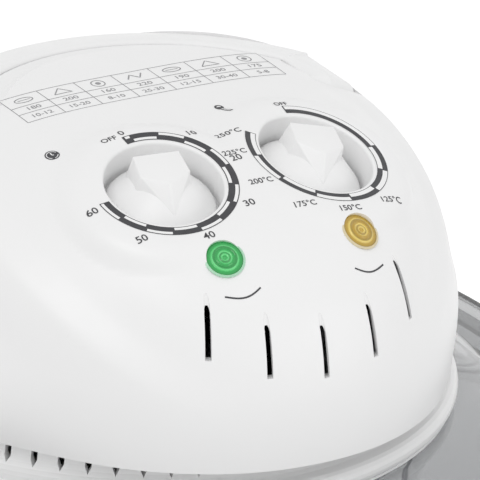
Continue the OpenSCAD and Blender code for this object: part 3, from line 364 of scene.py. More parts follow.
def circle_points(matrix, x, y, radius, heights, steps):
    """Points of one circle in a frame, at one or more heights."""
    return [matrix @ Vector((x + radius * cos(t), y + radius * sin(t), z))
            for z in heights for t in circle(steps)]


def new_object(name, data):
    obj = bpy.data.objects.new(name, data)
    bpy.context.scene.collection.objects.link(obj)
    return obj


def evaluated(obj):
    """A new mesh of an object as its modifiers or its letters make it."""
    bpy.context.view_layer.update()
    graph = bpy.context.evaluated_depsgraph_get()
    return bpy.data.meshes.new_from_object(obj.evaluated_get(graph))


def raw_mesh(name, points, faces, up=None):
    """An object of points in millimetres; its faces look outwards, or upwards where up is given."""
    mesh = bpy.data.meshes.new(name)
    mesh.from_pydata([tuple(c * MM for c in p) for p in points], [], faces)
    mesh.validate()
    bm = bmesh.new()
    bm.from_mesh(mesh)
    if up is None:
        bmesh.ops.recalc_face_normals(bm, faces=bm.faces)
    else:
        bm.normal_update()
        for face in bm.faces:
            if face.normal.dot(up) < 0:
                face.normal_flip()
    bm.to_mesh(mesh)
    bm.free()
    return new_object(name, mesh)


def dress(obj, body, material, slot, angle, *replaces):
    """Gives a piece its finish, keeps edges sharper than the angle, and lets it ride on its body."""
    obj.data.materials.clear()
    obj.data.materials.append(finish(material))
    obj.data.shade_smooth()
    obj.data.set_sharp_from_angle(angle=radians(angle))
    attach(obj, body)
    if replaces:
        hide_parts(*replaces)


def lathe(profile, steps, matrix=None):
    """A closed profile of (radius, height) turned about the z axis; points on the axis are shared."""
    points, faces, rows = [], [], []
    for r, z in profile:
        if r < 1e-6:
            rows.append([len(points)] * steps)
            points.append((0.0, 0.0, z))
        else:
            rows.append(list(range(len(points), len(points) + steps)))
            points += [(r * cos(2 * pi * k / steps), r * sin(2 * pi * k / steps), z)
                       for k in range(steps)]
    for row, after in zip(rows, rows[1:] + rows[:1]):
        for k in range(steps):
            j = (k + 1) % steps
            corners = tuple(dict.fromkeys((row[k], row[j], after[j], after[k])))
            if len(corners) > 2:
                faces.append(corners)
    if matrix is not None:
        points = [matrix @ Vector(p) for p in points]
    return points, faces


def sweep(section, start, end, steps):
    """A section of (radius, height) turned round the middle of the handle's arc, closed at its ends."""
    points = []
    for k in range(steps + 1):
        a = radians(start + (end - start) * k / steps)
        points += [(ARC_CENTRE[0] + r * cos(a), ARC_CENTRE[1] + r * sin(a), z)
                   for r, z in section]
    return points, tube(steps + 1, len(section))


def arc_block(name, inner, outer, low, high, start, end, steps):
    """A part of a square ring round the middle of the handle's arc, for use as a cutter."""
    section = [(inner, low), (outer, low), (outer, high), (inner, high)]
    return raw_mesh(name, *sweep(section, start, end, steps))


def wrap(name, points):
    """The convex hull of some points as a closed mesh."""
    bm = bmesh.new()
    for p in points:
        bm.verts.new([c * MM for c in p])
    done = bmesh.ops.convex_hull(bm, input=bm.verts)
    loose = [g for g in done["geom_interior"] + done["geom_unused"] if isinstance(g, bmesh.types.BMVert)]
    bmesh.ops.delete(bm, geom=list(set(loose)), context="VERTS")
    bmesh.ops.dissolve_limit(bm, angle_limit=radians(0.4), verts=bm.verts, edges=bm.edges)
    bmesh.ops.recalc_face_normals(bm, faces=bm.faces)
    mesh = bpy.data.meshes.new(name)
    bm.to_mesh(mesh)
    bm.free()
    return new_object(name, mesh)


def rod(matrix, low, high, radius, steps=96):
    """A closed cylinder along a frame's z axis, for use as a cutter."""
    return raw_mesh("rod", *lathe([(0, low), (radius, low), (radius, high), (0, high)], steps, matrix))


def block(matrix, low, high):
    """A closed box between two corners in a frame, for use as a cutter."""
    corners = [(x, y, z) for z in (low[2], high[2]) for y in (low[1], high[1]) for x in (low[0], high[0])]
    faces = [(0, 2, 3, 1), (4, 5, 7, 6), (0, 1, 5, 4), (2, 6, 7, 3), (0, 4, 6, 2), (1, 3, 7, 5)]
    return raw_mesh("block", [matrix @ Vector(c) for c in corners], faces)


def combine(obj, tools, operation="DIFFERENCE"):
    """Cuts away or joins the tools, one after another, and removes them."""
    for tool in tools:
        before = len(obj.data.vertices)
        for solver in ("MANIFOLD", "EXACT"):
            modifier = obj.modifiers.new("combine", "BOOLEAN")
            modifier.object, modifier.operation, modifier.solver = tool, operation, solver
            mesh = evaluated(obj)
            obj.modifiers.clear()
            if len(mesh.vertices) > before * LEAST_KEPT and len(mesh.vertices) != before:
                break
            bpy.data.meshes.remove(mesh)
        else:
            raise RuntimeError(tool.name + " leaves " + obj.name + " as it was")
        spare = (obj.data, tool.data)
        obj.data = mesh
        bpy.data.objects.remove(tool)
        for old in spare:
            bpy.data.meshes.remove(old)


def turned(place, tilt, roll):
    """A frame at a place, tilted about x and then rolled about y, as the solids use it."""
    return (Matrix.Translation(place) @ Matrix.Rotation(radians(roll), 4, "Y")
            @ Matrix.Rotation(radians(tilt), 4, "X"))


def dial_frame(side):
    return turned((side * 29.7, -65.5, TABLE_TO_FLANGE + 101.2), 17.2, side * 7)


def lamp_frame(side):
    return turned((side * 26.3, -98.6, TABLE_TO_FLANGE + 87.2), 36, side * 12)


def pivot_frame(side):
    x, y, up = PIVOT
    return (Matrix.Translation((side * x, y, TABLE_TO_FLANGE + up))
            @ Matrix.Rotation(radians(90 * side), 4, "Y"))


def ease(t):
    """A soft step from nought to one."""
    t = np.clip(t, 0, 1)
    return t * t * (3 - 2 * t)


def degrees_from_front(a):
    """How far a turn angle is from the front, on either side."""
    return np.degrees(np.abs(np.arctan2(np.sin(a), np.cos(a))))


def cap(radius, height, power, e):
    """Distance to a rounded cap at an elevation."""
    return ((np.cos(e) / radius) ** power + (np.sin(e) / height) ** power) ** (-1 / power)


def skin_reach(a, e):
    """Distance from the middle of the base to the skin, by turn angle and elevation."""
    h = settings().head
    squareness, merge = 2.12, 40
    s, c = np.abs(np.sin(a)), np.cos(a)
    reach = np.where(c > 0, h.nose_reach, h.back_reach) / MM
    plan = (s / (h.panel_half_width / MM)) ** squareness + (np.abs(c) / reach) ** squareness
    plan = plan ** (-1 / squareness)
    power = np.where(c > 0, 3.0, 2.4) * c * c + 3.8 * s * s
    r = (cap(h.round_radius / MM, h.round_height / MM, 2.1, e) ** merge
         + cap(plan, h.panel_height / MM, power, e) ** merge) ** (1 / merge)
    b = degrees_from_front(a)
    above = np.degrees(e) - (15.5 + 30.5 * ease((b - 8) / 74))
    side = np.where(above > 0, 1 - ease(above / 13), 1 - ease(-above / 8))
    r = r - (h.crease_depth / MM) * ease((b - 12) / 22) * (1 - ease((b - 78) / 16)) * side
    return r + flat_lift(a, e, r)


def flat_lift(a, e, r):
    """How far the skin is raised to lie flat round each dial."""
    way = np.stack([np.cos(e) * np.sin(a), -np.cos(e) * np.cos(a), np.sin(e)], -1)
    place = way * r[..., None] + np.array([0, 0, SKIN_BASE])
    flat, fade, total = 25, 13, 0
    for side in (-1, 1):
        matrix = np.array(dial_frame(side))
        local = (place - matrix[:3, 3]) @ matrix[:3, :3]
        weight = 1 - ease((np.hypot(local[..., 0], local[..., 1]) - flat) / fade)
        rise = np.maximum(0, -local[..., 2]) * weight / np.maximum(0.3, way @ matrix[:3, 2])
        total = total + rise ** 3
    return total ** (1 / 3)


def tuck(a, height):
    """How far the foot of the skin is drawn in, by turn angle and height above the base."""
    return np.clip(1 - height / 26, 0, 1) ** 1.5 * (1 + 3 * ease((degrees_from_front(a) - 30) / 25))


def skin_points(a, e, inset=0.0):
    """Points on the skin, or inside it by the inset, by turn angle and elevation."""
    r = skin_reach(a, e) - inset
    height = r * np.sin(e)
    q = np.maximum(0, r * np.cos(e) - tuck(a, height))
    return np.stack([q * np.sin(a), -q * np.cos(a), SKIN_BASE + height], -1)


def above_skin(p):
    """Roughly how far points lie outside the skin, in millimetres."""
    a = np.arctan2(p[..., 0], -p[..., 1])
    height = p[..., 2] - SKIN_BASE
    q = np.hypot(p[..., 0], p[..., 1]) + tuck(a, height)
    e = np.arctan2(np.maximum(height, 0), q)
    return np.hypot(q, height) - skin_reach(a, e)


def skin_normals(p, step=0.05):
    grad = np.stack([above_skin(p + way) - above_skin(p - way) for way in np.eye(3) * step], -1)
    return grad / np.linalg.norm(grad, axis=-1, keepdims=True)


def drop_on_skin(matrix, flat, lift):
    """Lays flat points of a frame on the skin along its z axis, and lifts them off it a little."""
    m = np.array(matrix)
    flat = np.asarray(flat, float)
    reach, halvings = 9.0, 34
    low, high = np.full(len(flat), -reach), np.full(len(flat), reach)

    def place(t):
        local = np.stack([flat[:, 0], flat[:, 1], t, np.ones(len(flat))], -1)
        return (local @ m.T)[:, :3]

    for _ in range(halvings):
        middle = (low + high) / 2
        outside = above_skin(place(middle)) > 0
        high = np.where(outside, middle, high)
        low = np.where(outside, low, middle)
    p = place((low + high) / 2)
    return p + skin_normals(p) * lift


def skin_body(inset, first, around, rows):
    """A closed dome on the skin, or inside it by the inset, from the first elevation up."""
    e = first + (pi / 2 - first) * np.arange(rows) / rows
    grid = skin_points(*np.meshgrid(circle(around), e), inset=inset).reshape(-1, 3)
    top = skin_points(np.array([0.0]), np.array([pi / 2]), inset)
    points = np.vstack([grid, top, [[0, 0, grid[0, 2]]]])
    last, apex, foot = (rows - 1) * around, rows * around, rows * around + 1
    faces = quads(rows, around)
    for j in range(around):
        k = (j + 1) % around
        faces += [(last + j, last + k, apex), (foot, k, j)]
    return raw_mesh("dome", points.tolist(), faces)


def read_all(items, name, width=1, kind=float):
    """One property of all the points, faces or corners of a mesh, as an array."""
    values = np.zeros(len(items) * width, kind)
    items.foreach_get(name, values)
    return values.reshape(-1, width) if width > 1 else values


def true_normals(obj):
    """Gives the corners that lie on the skin the skin's own normals, so that cuts leave no streaks."""
    mesh = obj.data
    points = read_all(mesh.vertices, "co", 3) / MM
    on_skin = (np.abs(above_skin(points)) < 0.04) & (points[:, 2] > SKIN_BASE + 1.0)
    corner = read_all(mesh.corner_normals, "vector", 3, np.float32)
    owner = read_all(mesh.loops, "vertex_index", kind=int)
    normals = skin_normals(points)[owner]
    corners = read_all(mesh.polygons, "loop_total", kind=int)
    facing = np.repeat(read_all(mesh.polygons, "normal", 3), corners, 0)
    near = on_skin[owner] & ((facing * normals).sum(-1) > cos(radians(24)))
    corner[near] = normals[near]
    mesh.normals_split_custom_set(corner.tolist())


def well_flare(side):
    """A ring that rounds the edge of a well where it meets the skin."""
    d = settings().dials
    r, lip, steps, rows = d.well_radius / MM, d.lip / MM, 160, 9
    matrix = dial_frame(side)
    rim = np.stack([np.cos(circle(steps)), np.sin(circle(steps))], -1) * (r + lip)
    on = np.hstack([drop_on_skin(matrix, rim, 0.0), np.ones((steps, 1))])
    heights = (on @ np.linalg.inv(np.array(matrix)).T)[:, 2]
    bend = [pi / 2 * i / rows for i in range(rows + 1)]
    section = [(r - 0.6, -lip - 0.6), (r, -lip - 0.6)]
    section += [(r + lip - lip * cos(t), -lip + lip * sin(t)) for t in bend]
    section += [(r + lip, 4.0), (r - 0.6, 4.0)]
    points = [matrix @ Vector((x * cos(a), x * sin(a), h + z))
              for a, h in zip(circle(steps), heights) for x, z in section]
    return raw_mesh("flare", points, quads(steps, len(section), closed=True))


def elevation_at(a, height):
    """The elevation at which the skin reaches a height."""
    e = np.radians(np.linspace(5, 70, 1301))
    return e[np.argmin(np.abs(skin_points(np.full(len(e), a), e)[:, 2] - height))]


def front_slot(step):
    """Cutters for one front slot and the soft dip above it; steps count from the middle slot."""
    a = radians(step * SLOT_PITCH)
    low = SKIN_BASE + 30.3 + abs(step) * 2.5 + (abs(step) > 1) * 3.8
    high = 1.8 if step == 2 else 0.0
    rows = [(0.0, 1.05), (0.4, 1.05), (14.4 + high, 1.0), (15.6 + high, 0.75), (16.3 + high, 0.45)]
    section = [(6, 0), (-0.8, 0), (-3.4, 1.6), (-34, 1.6)]
    points = []
    for rise, half in rows:
        place = skin_points(np.array([a]), np.array([elevation_at(a, low + rise)]))[0]
        reach = float(np.hypot(*place[:2]))
        for hand, part in ((-1, section), (1, section[::-1])):
            points += [(hand * (half + wider), -reach - depth, low + rise) for depth, wider in part]
    turn = Matrix.Rotation(a, 4, "Z")
    slit = raw_mesh("slit", [turn @ Vector(p) for p in points], tube(len(rows), 2 * len(section)))
    e = elevation_at(a, low + 16.4)
    middle, near, far = skin_points(np.full(3, a), np.array([e, e - 0.01, e + 0.01]))
    up = Vector(far - near).normalized()
    out = Vector(skin_normals(middle[None])[0])
    lie = Matrix((up.cross(out), out, up)).transposed().to_4x4()
    seat = Matrix.Translation(middle) @ lie @ Matrix.Diagonal((1.0, 0.8, 4.6, 1.0))
    bend = [(cos(radians(t)), sin(radians(t))) for t in range(-80, 81, 10)]
    return [slit, raw_mesh("dip", *lathe([(0, -1)] + bend + [(0, 1)], 32, seat))]


def handle_pocket(side):
    """The room that one end of the handle needs as it swings from flat to upright."""
    pivot, inner = pivot_frame(side), 1.68
    depths = (-inner, PIVOT_REACH)
    points = circle_points(pivot, 0, 0, 7.35, depths, 48)
    for swing in np.linspace(0, pi / 2, 7):
        x, y = side * ARM_OFFSET * cos(swing), ARM_OFFSET * sin(swing)
        points += circle_points(pivot, x, y, ARM_RADIUS + 0.35, depths, 48)
    points += [Vector((side * (PIVOT[0] + out), y, TABLE_TO_FLANGE + z))
               for out in depths for y in (-13.1, 2.9) for z in (103, 123)]
    for radius in (72.48, 90.52):
        for shift in (-0.5, 0.5):
            x = radius * cos(ARC_END) - shift * sin(ARC_END)
            y = radius * sin(ARC_END) + shift * cos(ARC_END) + ARC_CENTRE[1]
            points += [Vector((side * x, y, TABLE_TO_FLANGE + z)) for z in (92.05, 122.05)]
    return wrap("pocket", points)


class OVEN_OT_head(bpy.types.Operator):
    """Makes the moulded head with its wells, slots, lamp holes and the seat of the handle"""
    bl_idname = "oven.head"
    bl_label = "Head"

    def execute(self, context):
        s = settings()
        depth, radius = s.dials.well_depth / MM, s.dials.well_radius / MM
        head = skin_body(0.0, 0.0, s.steps, 112)
        seat = rod(Matrix.Identity(4), SKIN_BASE - 1, SKIN_BASE + 5.5, 106.5, 192)
        cutters = [self.hollow(s, depth, radius), seat]
        for side in (-1, 1):
            dial, lamp, pivot = dial_frame(side), lamp_frame(side), pivot_frame(side)
            cutters += [rod(dial, -depth, depth + 2, radius, 160), well_flare(side),
                        rod(dial, -depth - 3, -depth + 1, 3.3, 48), rod(lamp, -10, 6, 6.3, 64),
                        rod(pivot, -10.5, 2, 2.5, 40), handle_pocket(side)]
        cutters.append(arc_block("seat", 72.6, 90.4, 292.2, 322.2, 30, 150, 128))
        groove = [(72 + 16 * cos(t), 316.7 + 16 * sin(t)) for t in circle(96)]
        cutters.append(raw_mesh("groove", *lathe(groove, 192, Matrix.Translation((*ARC_CENTRE, 0)))))
        for step in range(-2, 3):
            cutters += front_slot(step)
        a, arc = radians(40), 81.5
        plunger = Matrix.Translation((arc * cos(a), arc * sin(a) + ARC_CENTRE[1], 0))
        cord = Matrix.Translation((0, 111, 240)) @ Matrix.Rotation(radians(-86), 4, "X")
        cutters += [rod(plunger, 288.9, 293, 2.05, 40), rod(cord, -16, 10, 7.0, 64)]
        combine(head, cutters)
        head.name = "head_skin"
        dress(head, "lid", "white_plastic", "white_plastic", 32, "main_housing")
        true_normals(head)
        return {"FINISHED"}

    def hollow(self, s, depth, radius):
        """The room inside the head, less its wells, seats, the handle's bed and four posts."""
        foot = math.asin(2.5 / 115.2)
        room = skin_body(s.head.wall / MM, foot, s.steps // 2, 44)
        solid = []
        for side in (-1, 1):
            solid += [rod(dial_frame(side), -depth - 2, 2, radius + 2), rod(lamp_frame(side), -8, 6, 8.2),
                      rod(pivot_frame(side), -13, 27, 11.4)]
        solid.append(arc_block("shelf", 69.5, 93.5, 289.2, 319.2, 20, 160, 96))
        solid.append(arc_block("backing", 56, 70.5, 297.5, 319.2, 0, 180, 96))
        for a in (40, 140, 220, 320):
            post = Matrix.Rotation(radians(a), 4, "Z")
            solid.append(rod(post @ Matrix.Translation((96, 0, 0)), 226, 250, 5.5, 48))
            solid.append(block(post, (96, -1.5, 226), (120, 1.5, 250)))
        combine(room, solid)
        return room


def rounded(points):
    """Cuts the corners of a closed outline three times, until it is smooth."""
    for _ in range(3):
        cut = []
        for (x0, y0), (x1, y1) in zip(points, points[1:] + points[:1]):
            for near, far in ((0.8, 0.2), (0.2, 0.8)):
                cut.append((x0 * near + x1 * far, y0 * near + y1 * far))
        points = cut
    return points


def handle_section(grow):
    """Section of the handle's arc: flat below, and sloping down to its outer side."""
    r0, r1, z = 73.0 - grow, 90.0 + grow, TABLE_TO_FLANGE
    return rounded([(r0 + 3, z + 93.4), (r0 + 3.8, z + 92.6), (r1 - 1, z + 92.6), (r1, z + 93.6),
                    (r1, z + 96.4), (r1 - 0.8, z + 97.9), (r1 - 2.4, z + 98.6), (r0 + 3, z + 101.8),
                    (r0 + 1, z + 101.4), (r0 + 0.1, z + 100.2)])


class OVEN_OT_handle(bpy.types.Operator):
    """Makes the folding carry handle"""
    bl_idname = "oven.handle"
    bl_label = "Carry handle"

    def execute(self, context):
        handle = raw_mesh("carry_handle_band", *sweep(handle_section(0.2), 30, 150, 128))
        ends, bores = [], []
        for side in (-1, 1):
            pivot = pivot_frame(side)
            end = circle_points(pivot, 0, 0, 6.5, (0, 7.5), 64)
            for z, drop in ((0, 0), (17.4, 0), (18.1, 0.35), (18.5, 1.1)):
                end += circle_points(pivot, side * ARM_OFFSET, 0, ARM_RADIUS - drop, (z,), 64)
            end += [Vector((side * r * cos(ARC_END), r * sin(ARC_END) + ARC_CENTRE[1], z))
                    for r, z in handle_section(0.08)]
            ends.append(wrap("handle_end", end))
            bores.append(rod(pivot, -1, 9.3, 2.55, 40))
        combine(handle, ends, "UNION")
        combine(handle, bores)
        dress(handle, "handle", "white_plastic", "white_plastic", 24, "carry_handle")
        return {"FINISHED"}


def knob(name, side, body, node):
    """A skirt like a shallow cone, with a broad grip that narrows to a pointer."""
    r, low, top, bore = settings().dials.knob_radius / MM, -11.4, 4.6, 3.0
    skirt = [(bore, low), (r - 0.7, low), (r - 0.2, low + 0.25), (r, low + 0.9), (r, low + 1.9),
             (r - 0.25, low + 2.5), (r - 0.9, low + 3.0), (12.2, low + 8.2), (6.0, 1.1), (0, 1.8),
             (0, -2.4), (bore, -2.4)]
    piece = raw_mesh(name, *lathe(skirt, 128))
    half = ((9.8, 11.6, low + 1), (11.4, -0.6, low + 1), (0.8, -13.0, low + 1), (7.9, 10.4, top - 0.7),
            (8.6, 0.2, top - 0.6), (0.5, -5.0, top - 0.2), (0.3, -12.2, -3.0))
    turn = Matrix.Rotation(radians(-13.5), 4, "Z")
    grip = wrap("grip", [turn @ Vector((hand * x, y, z)) for hand in (-1, 1) for x, y, z in half])
    modifier = grip.modifiers.new("round", "BEVEL")
    modifier.width, modifier.segments = 0.0018, 3
    modifier.limit_method, modifier.angle_limit = "ANGLE", radians(14)
    sharp = grip.data
    grip.data = evaluated(grip)
    grip.modifiers.clear()
    bpy.data.meshes.remove(sharp)
    combine(piece, [grip], "UNION")
    combine(piece, [rod(Matrix.Identity(4), low - 1, -2.4, bore, 48)])
    piece.data.transform(Matrix.Scale(MM, 4) @ dial_frame(side) @ Matrix.Scale(1 / MM, 4))
    dress(piece, body, "white_plastic", "white_plastic", 30, node)


class OVEN_OT_knobs(bpy.types.Operator):
    """Makes the timer knob and the temperature knob"""
    bl_idname = "oven.knobs"
    bl_label = "Knobs"

    def execute(self, context):
        knob("timer_grip", -1, "timer_dial", "timer_knob")
        knob("temperature_grip", 1, "temperature_dial", "temperature_knob")
        return {"FINISHED"}


def lens_top():
    """Profile of a lens from its edge to its middle: a low dome with a step and fine rings."""
    r = np.linspace(LENS_RADIUS, 0, 49)
    rings = 0.16 * np.cos(r * 2 * pi / 1.35) * ease((4.2 - r) / 0.5)
    height = 0.2 + 0.45 * np.sqrt(1 - (r / 6.25) ** 2) + 0.45 * ease((4.9 - r) / 0.5) + rings
    return list(zip(r.tolist(), height.tolist()))


class OVEN_OT_lamps(bpy.types.Operator):
    """Makes the two lamp lenses with their rings and pale rims"""
    bl_idname = "oven.lamps"
    bl_label = "Lamps"

    def execute(self, context):
        r, stem = LENS_RADIUS, 2.6
        lens_profile = [(stem, -7.0), (r, -7.0)] + lens_top() + [(0, -1.5), (stem, -1.5)]
        rim_profile = [(r, 0.05), (6.95, 0.05), (7.0, 0.3), (6.75, 0.52), (6.3, 0.55), (r, 0.4)]
        for side, colour, node in ((-1, "green", "power_lens"), (1, "amber", "heat_lens")):
            lens = raw_mesh(colour + "_lamp", *lathe(lens_profile, 96, lamp_frame(side)))
            dress(lens, "lid", colour + "_lens", colour + "_lens", 40, node)
            rim = raw_mesh(colour + "_lamp_rim", *lathe(rim_profile, 96, lamp_frame(side)))
            dress(rim, "lid", colour + "_rim", colour + "_lens", 40)
        return {"FINISHED"}


class Print:
    """Collects flat shapes of one frame and lays them on the skin."""

    def __init__(self, matrix, lift):
        self.matrix, self.lift = matrix, lift
        self.points, self.faces = [], []

    def shape(self, points, faces):
        first = len(self.points)
        self.points += points
        self.faces += [tuple(first + i for i in f) for f in faces]

    def band(self, inner, outer, start, end):
        """A part of a ring; angles run clockwise from the panel's upward direction."""
        steps = max(2, int(abs(end - start) / 2.5))
        points = [around(r, start + (end - start) * k / steps)
                  for k in range(steps + 1) for r in (inner, (inner + outer) / 2, outer)]
        self.shape(points, [(i, i + 1, i + 4, i + 3) for k in range(steps) for i in (3 * k, 3 * k + 1)])

    def line(self, way, width):
        """A line of even width along a way of flat points."""
        way = [Vector(p) for p in way]
        fine = []
        for p, q in zip(way, way[1:]):
            n = max(1, int((q - p).length / 0.8))
            fine += [p.lerp(q, i / n) for i in range(n)]
        fine.append(way[-1])
        points = []
        for i, p in enumerate(fine):
            d = (fine[min(i + 1, len(fine) - 1)] - fine[max(i - 1, 0)]).normalized()
            s = Vector((-d.y, d.x)) * width / 2
            points += [tuple(p + s), tuple(p - s)]
        self.shape(points, [(2 * i, 2 * i + 1, 2 * i + 3, 2 * i + 2) for i in range(len(fine) - 1)])

    def oval(self, x, y, rx, ry, width, steps=24):
        """The outline of an oval."""
        turns = np.linspace(0, 2 * pi, steps + 1)
        self.line([(x + rx * cos(t), y + ry * sin(t)) for t in turns], width)

    def disc(self, x, y, radius):
        self.shape([(x + radius * cos(t), y + radius * sin(t)) for t in circle(20)], [range(20)])

    def marks(self, words, x, y, size, wide):
        """Plain numbers and marks, centred on a flat point."""
        curve = bpy.data.curves.new("marks", "FONT")
        curve.body, curve.size, curve.offset = words, size, 0.008 * size
        curve.align_x = curve.align_y = "CENTER"
        curve.resolution_u = 4
        obj = new_object("marks", curve)
        mesh = evaluated(obj)
        points = [(x + v.co.x * wide, y + v.co.y) for v in mesh.vertices]
        self.shape(points, [f.vertices for f in mesh.polygons])
        bpy.data.objects.remove(obj)
        bpy.data.meshes.remove(mesh)
        bpy.data.curves.remove(curve)

    def build(self, name, material):
        """Makes the print a piece that lies just above the skin."""
        laid = drop_on_skin(self.matrix, self.points, self.lift).tolist()
        obj = raw_mesh(name, laid, self.faces, Vector(self.matrix.col[2][:3]))
        slot = "white_plastic" if material == "white_print" else "black_plastic"
        dress(obj, "lid", material, slot, 60)


def around(r, degrees):
    """A flat point, by its distance and its angle clockwise from the panel's upward direction."""
    a = radians(degrees)
    return r * sin(a), r * cos(a)


class OVEN_OT_dial_print(bpy.types.Operator):
    """Prints the rings and numbers round both dials"""
    bl_idname = "oven.dial_print"
    bl_label = "Dial print"

    def execute(self, context):
        d = settings().dials
        inner, outer, size = d.ring_inner / MM, d.ring_outer / MM, d.number_size / MM
        self.timer(inner, outer, size)
        self.temperature(inner, outer, size)
        return {"FINISHED"}

    def inks(self, side):
        """Dark print, and pale print that lies on it."""
        return Print(dial_frame(side), 0.09), Print(dial_frame(side), 0.12)

    def timer(self, inner, outer, size):
        """A ring of dashes in and out by turns, minutes from 0 to 60, and a small clock."""
        dark, pale = self.inks(-1)
        third, edge = (outer - inner) * 0.3, 0.32
        dark.band(inner, outer, -3, 270)
        pale.band(outer - third - edge, outer - edge, -1, 3)
        for i in range(12):
            start = 4 + i * 22.2
            low = outer - edge - third if i % 2 else inner + edge
            pale.band(low, low + third, start + 0.8, start + 21)
        for words, a, r in (("0", 0, 27.2), ("10", 50, 28.2), ("20", 88, 28.6), ("30", 133, 28.6),
                            ("40", 179, 27.6), ("50", 226, 28.6), ("60", 266, 28.8)):
            dark.marks(words, *around(r, a), size * 0.95, 1.1)
        x, y = around(26.8, 345)
        dark.marks("OFF", x + 1.4, y, size * 0.74, 1.1)
        x, y = -23.6, 31.1
        dark.disc(x, y, 2.5)
        pale.oval(x, y, 1.9, 1.9, 0.3, 32)
        pale.line([(x, y + 1.3), (x, y), (x + 1.1, y - 0.5)], 0.45)
        dark.build("timer_print", "black_print")
        pale.build("timer_dashes", "white_print")

    def temperature(self, inner, outer, size):
        """A ring of long dashes, six temperatures, and a small thermometer."""
        dark, pale = self.inks(1)
        middle, edge = (inner + outer) / 2, 0.22
        dark.band(inner, outer, 0, 303)
        pale.band(middle, outer - edge, 1, 85)
        for i in range(7):
            start = 86 + i * 31
            low, high = (middle, outer - edge) if i % 2 else (inner + edge, middle)
            pale.band(low, high, start + 0.8, start + 30.2)
        for words, a, r in (("125°C", 148, 29.6), ("150°C", 185, 28.2), ("175°C", 217, 30.4),
                            ("200°C", 248, 30.6), ("225°C", 277, 30.6), ("250°C", 299, 30.2)):
            dark.marks(words, *around(r, a), size * 0.8, 1.05)
        dark.marks("OFF", *around(26.3, 1), size * 0.7, 1.05)
        x, y = -16.8, 32.4
        dark.disc(x, y + 2.2, 1.6)
        pale.disc(x, y + 2.2, 0.8)
        dark.line([(x + 0.1, y + 1.2), (x + 1.0, y - 3.2)], 1.3)
        pale.line([(x + 0.2, y + 0.9), (x + 0.9, y - 2.8)], 0.5)
        dark.build("temperature_print", "black_print")
        pale.build("temperature_dashes", "white_print")


class OVEN_OT_lamp_marks(bpy.types.Operator):
    """Prints the thin curved line under each lamp"""
    bl_idname = "oven.lamp_marks"
    bl_label = "Lamp lines"

    def execute(self, context):
        for side, name in ((-1, "left_lamp_line"), (1, "right_lamp_line")):
            matrix = lamp_frame(side)
            a, b = ((matrix.inverted() @ Vector((side * x, y, TABLE_TO_FLANGE + z))).to_2d()
                    for x, y, z in ((31.0, -108.0, 79.2), (18.3, -108.9, 79.7)))
            sag, line = 2.0, Print(matrix, 0.08)
            way = [a.lerp(b, t) - Vector((0, sag * sin(pi * t))) for t in np.linspace(0, 1, 17)]
            line.line(way, 0.55)
            line.build(name, "black_print")
        return {"FINISHED"}


class OVEN_OT_guide(bpy.types.Operator):
    """Prints the small cooking guide in front of the handle"""
    bl_idname = "oven.guide"
    bl_label = "Guide table"

    def execute(self, context):
        p = Print(Matrix.Translation((0, 0, TABLE_TO_FLANGE + 106)), 0.05)
        left, right, top, low = -49.8, 51.4, 6.4, -12.6
        heights = [top, top - 8.0, top - 13.0, low]
        degrees = ("180", "200", "160", "220", "190", "200", "175")
        minutes = ("10-12", "15-20", "8-10", "25-30", "12-15", "30-40", "5-8")
        columns = len(degrees)
        for y in heights:
            p.line([(left, y), (right, y)], 0.28)
        for i in range(columns + 1):
            x = left + (right - left) * i / columns
            p.line([(x, top), (x, low)], 0.28)
        for i in range(columns):
            x = left + (right - left) * (i + 0.5) / columns
            self.sign(p, i % 4, x, (heights[0] + heights[1]) / 2)
            p.marks(degrees[i], x, (heights[1] + heights[2]) / 2, 3.1, 1.25)
            p.marks(minutes[i], x, (heights[2] + low) / 2, 3.1, 1.15)
        p.build("guide_table", "grey_print")
        return {"FINISHED"}

    def sign(self, p, kind, x, y):
        """One of four plain signs for a kind of food."""
        if kind == 0:
            p.oval(x, y, 3.4, 1.7, 0.4)
            p.line([(x - 2.4, y), (x + 2.4, y)], 0.3)
        elif kind == 1:
            p.line([(x - 3.4, y - 1.8), (x, y + 2.2), (x + 3.4, y - 1.8), (x - 3.4, y - 1.8)], 0.4)
        elif kind == 2:
            p.oval(x, y, 2.4, 2.4, 0.4)
            p.disc(x, y, 1.0)
        else:
            p.line([(x - 3.4, y - 1.4), (x - 1.2, y + 1.8), (x + 1.2, y - 1.4), (x + 3.4, y + 1.8)], 0.5)


def curve_points(cx, cz, r, start, end, steps):
    """Points of an arc of a profile, between two angles in degrees."""
    turns = [radians(start + (end - start) * k / steps) for k in range(steps + 1)]
    return [(cx + r * cos(t), cz + r * sin(t)) for t in turns]


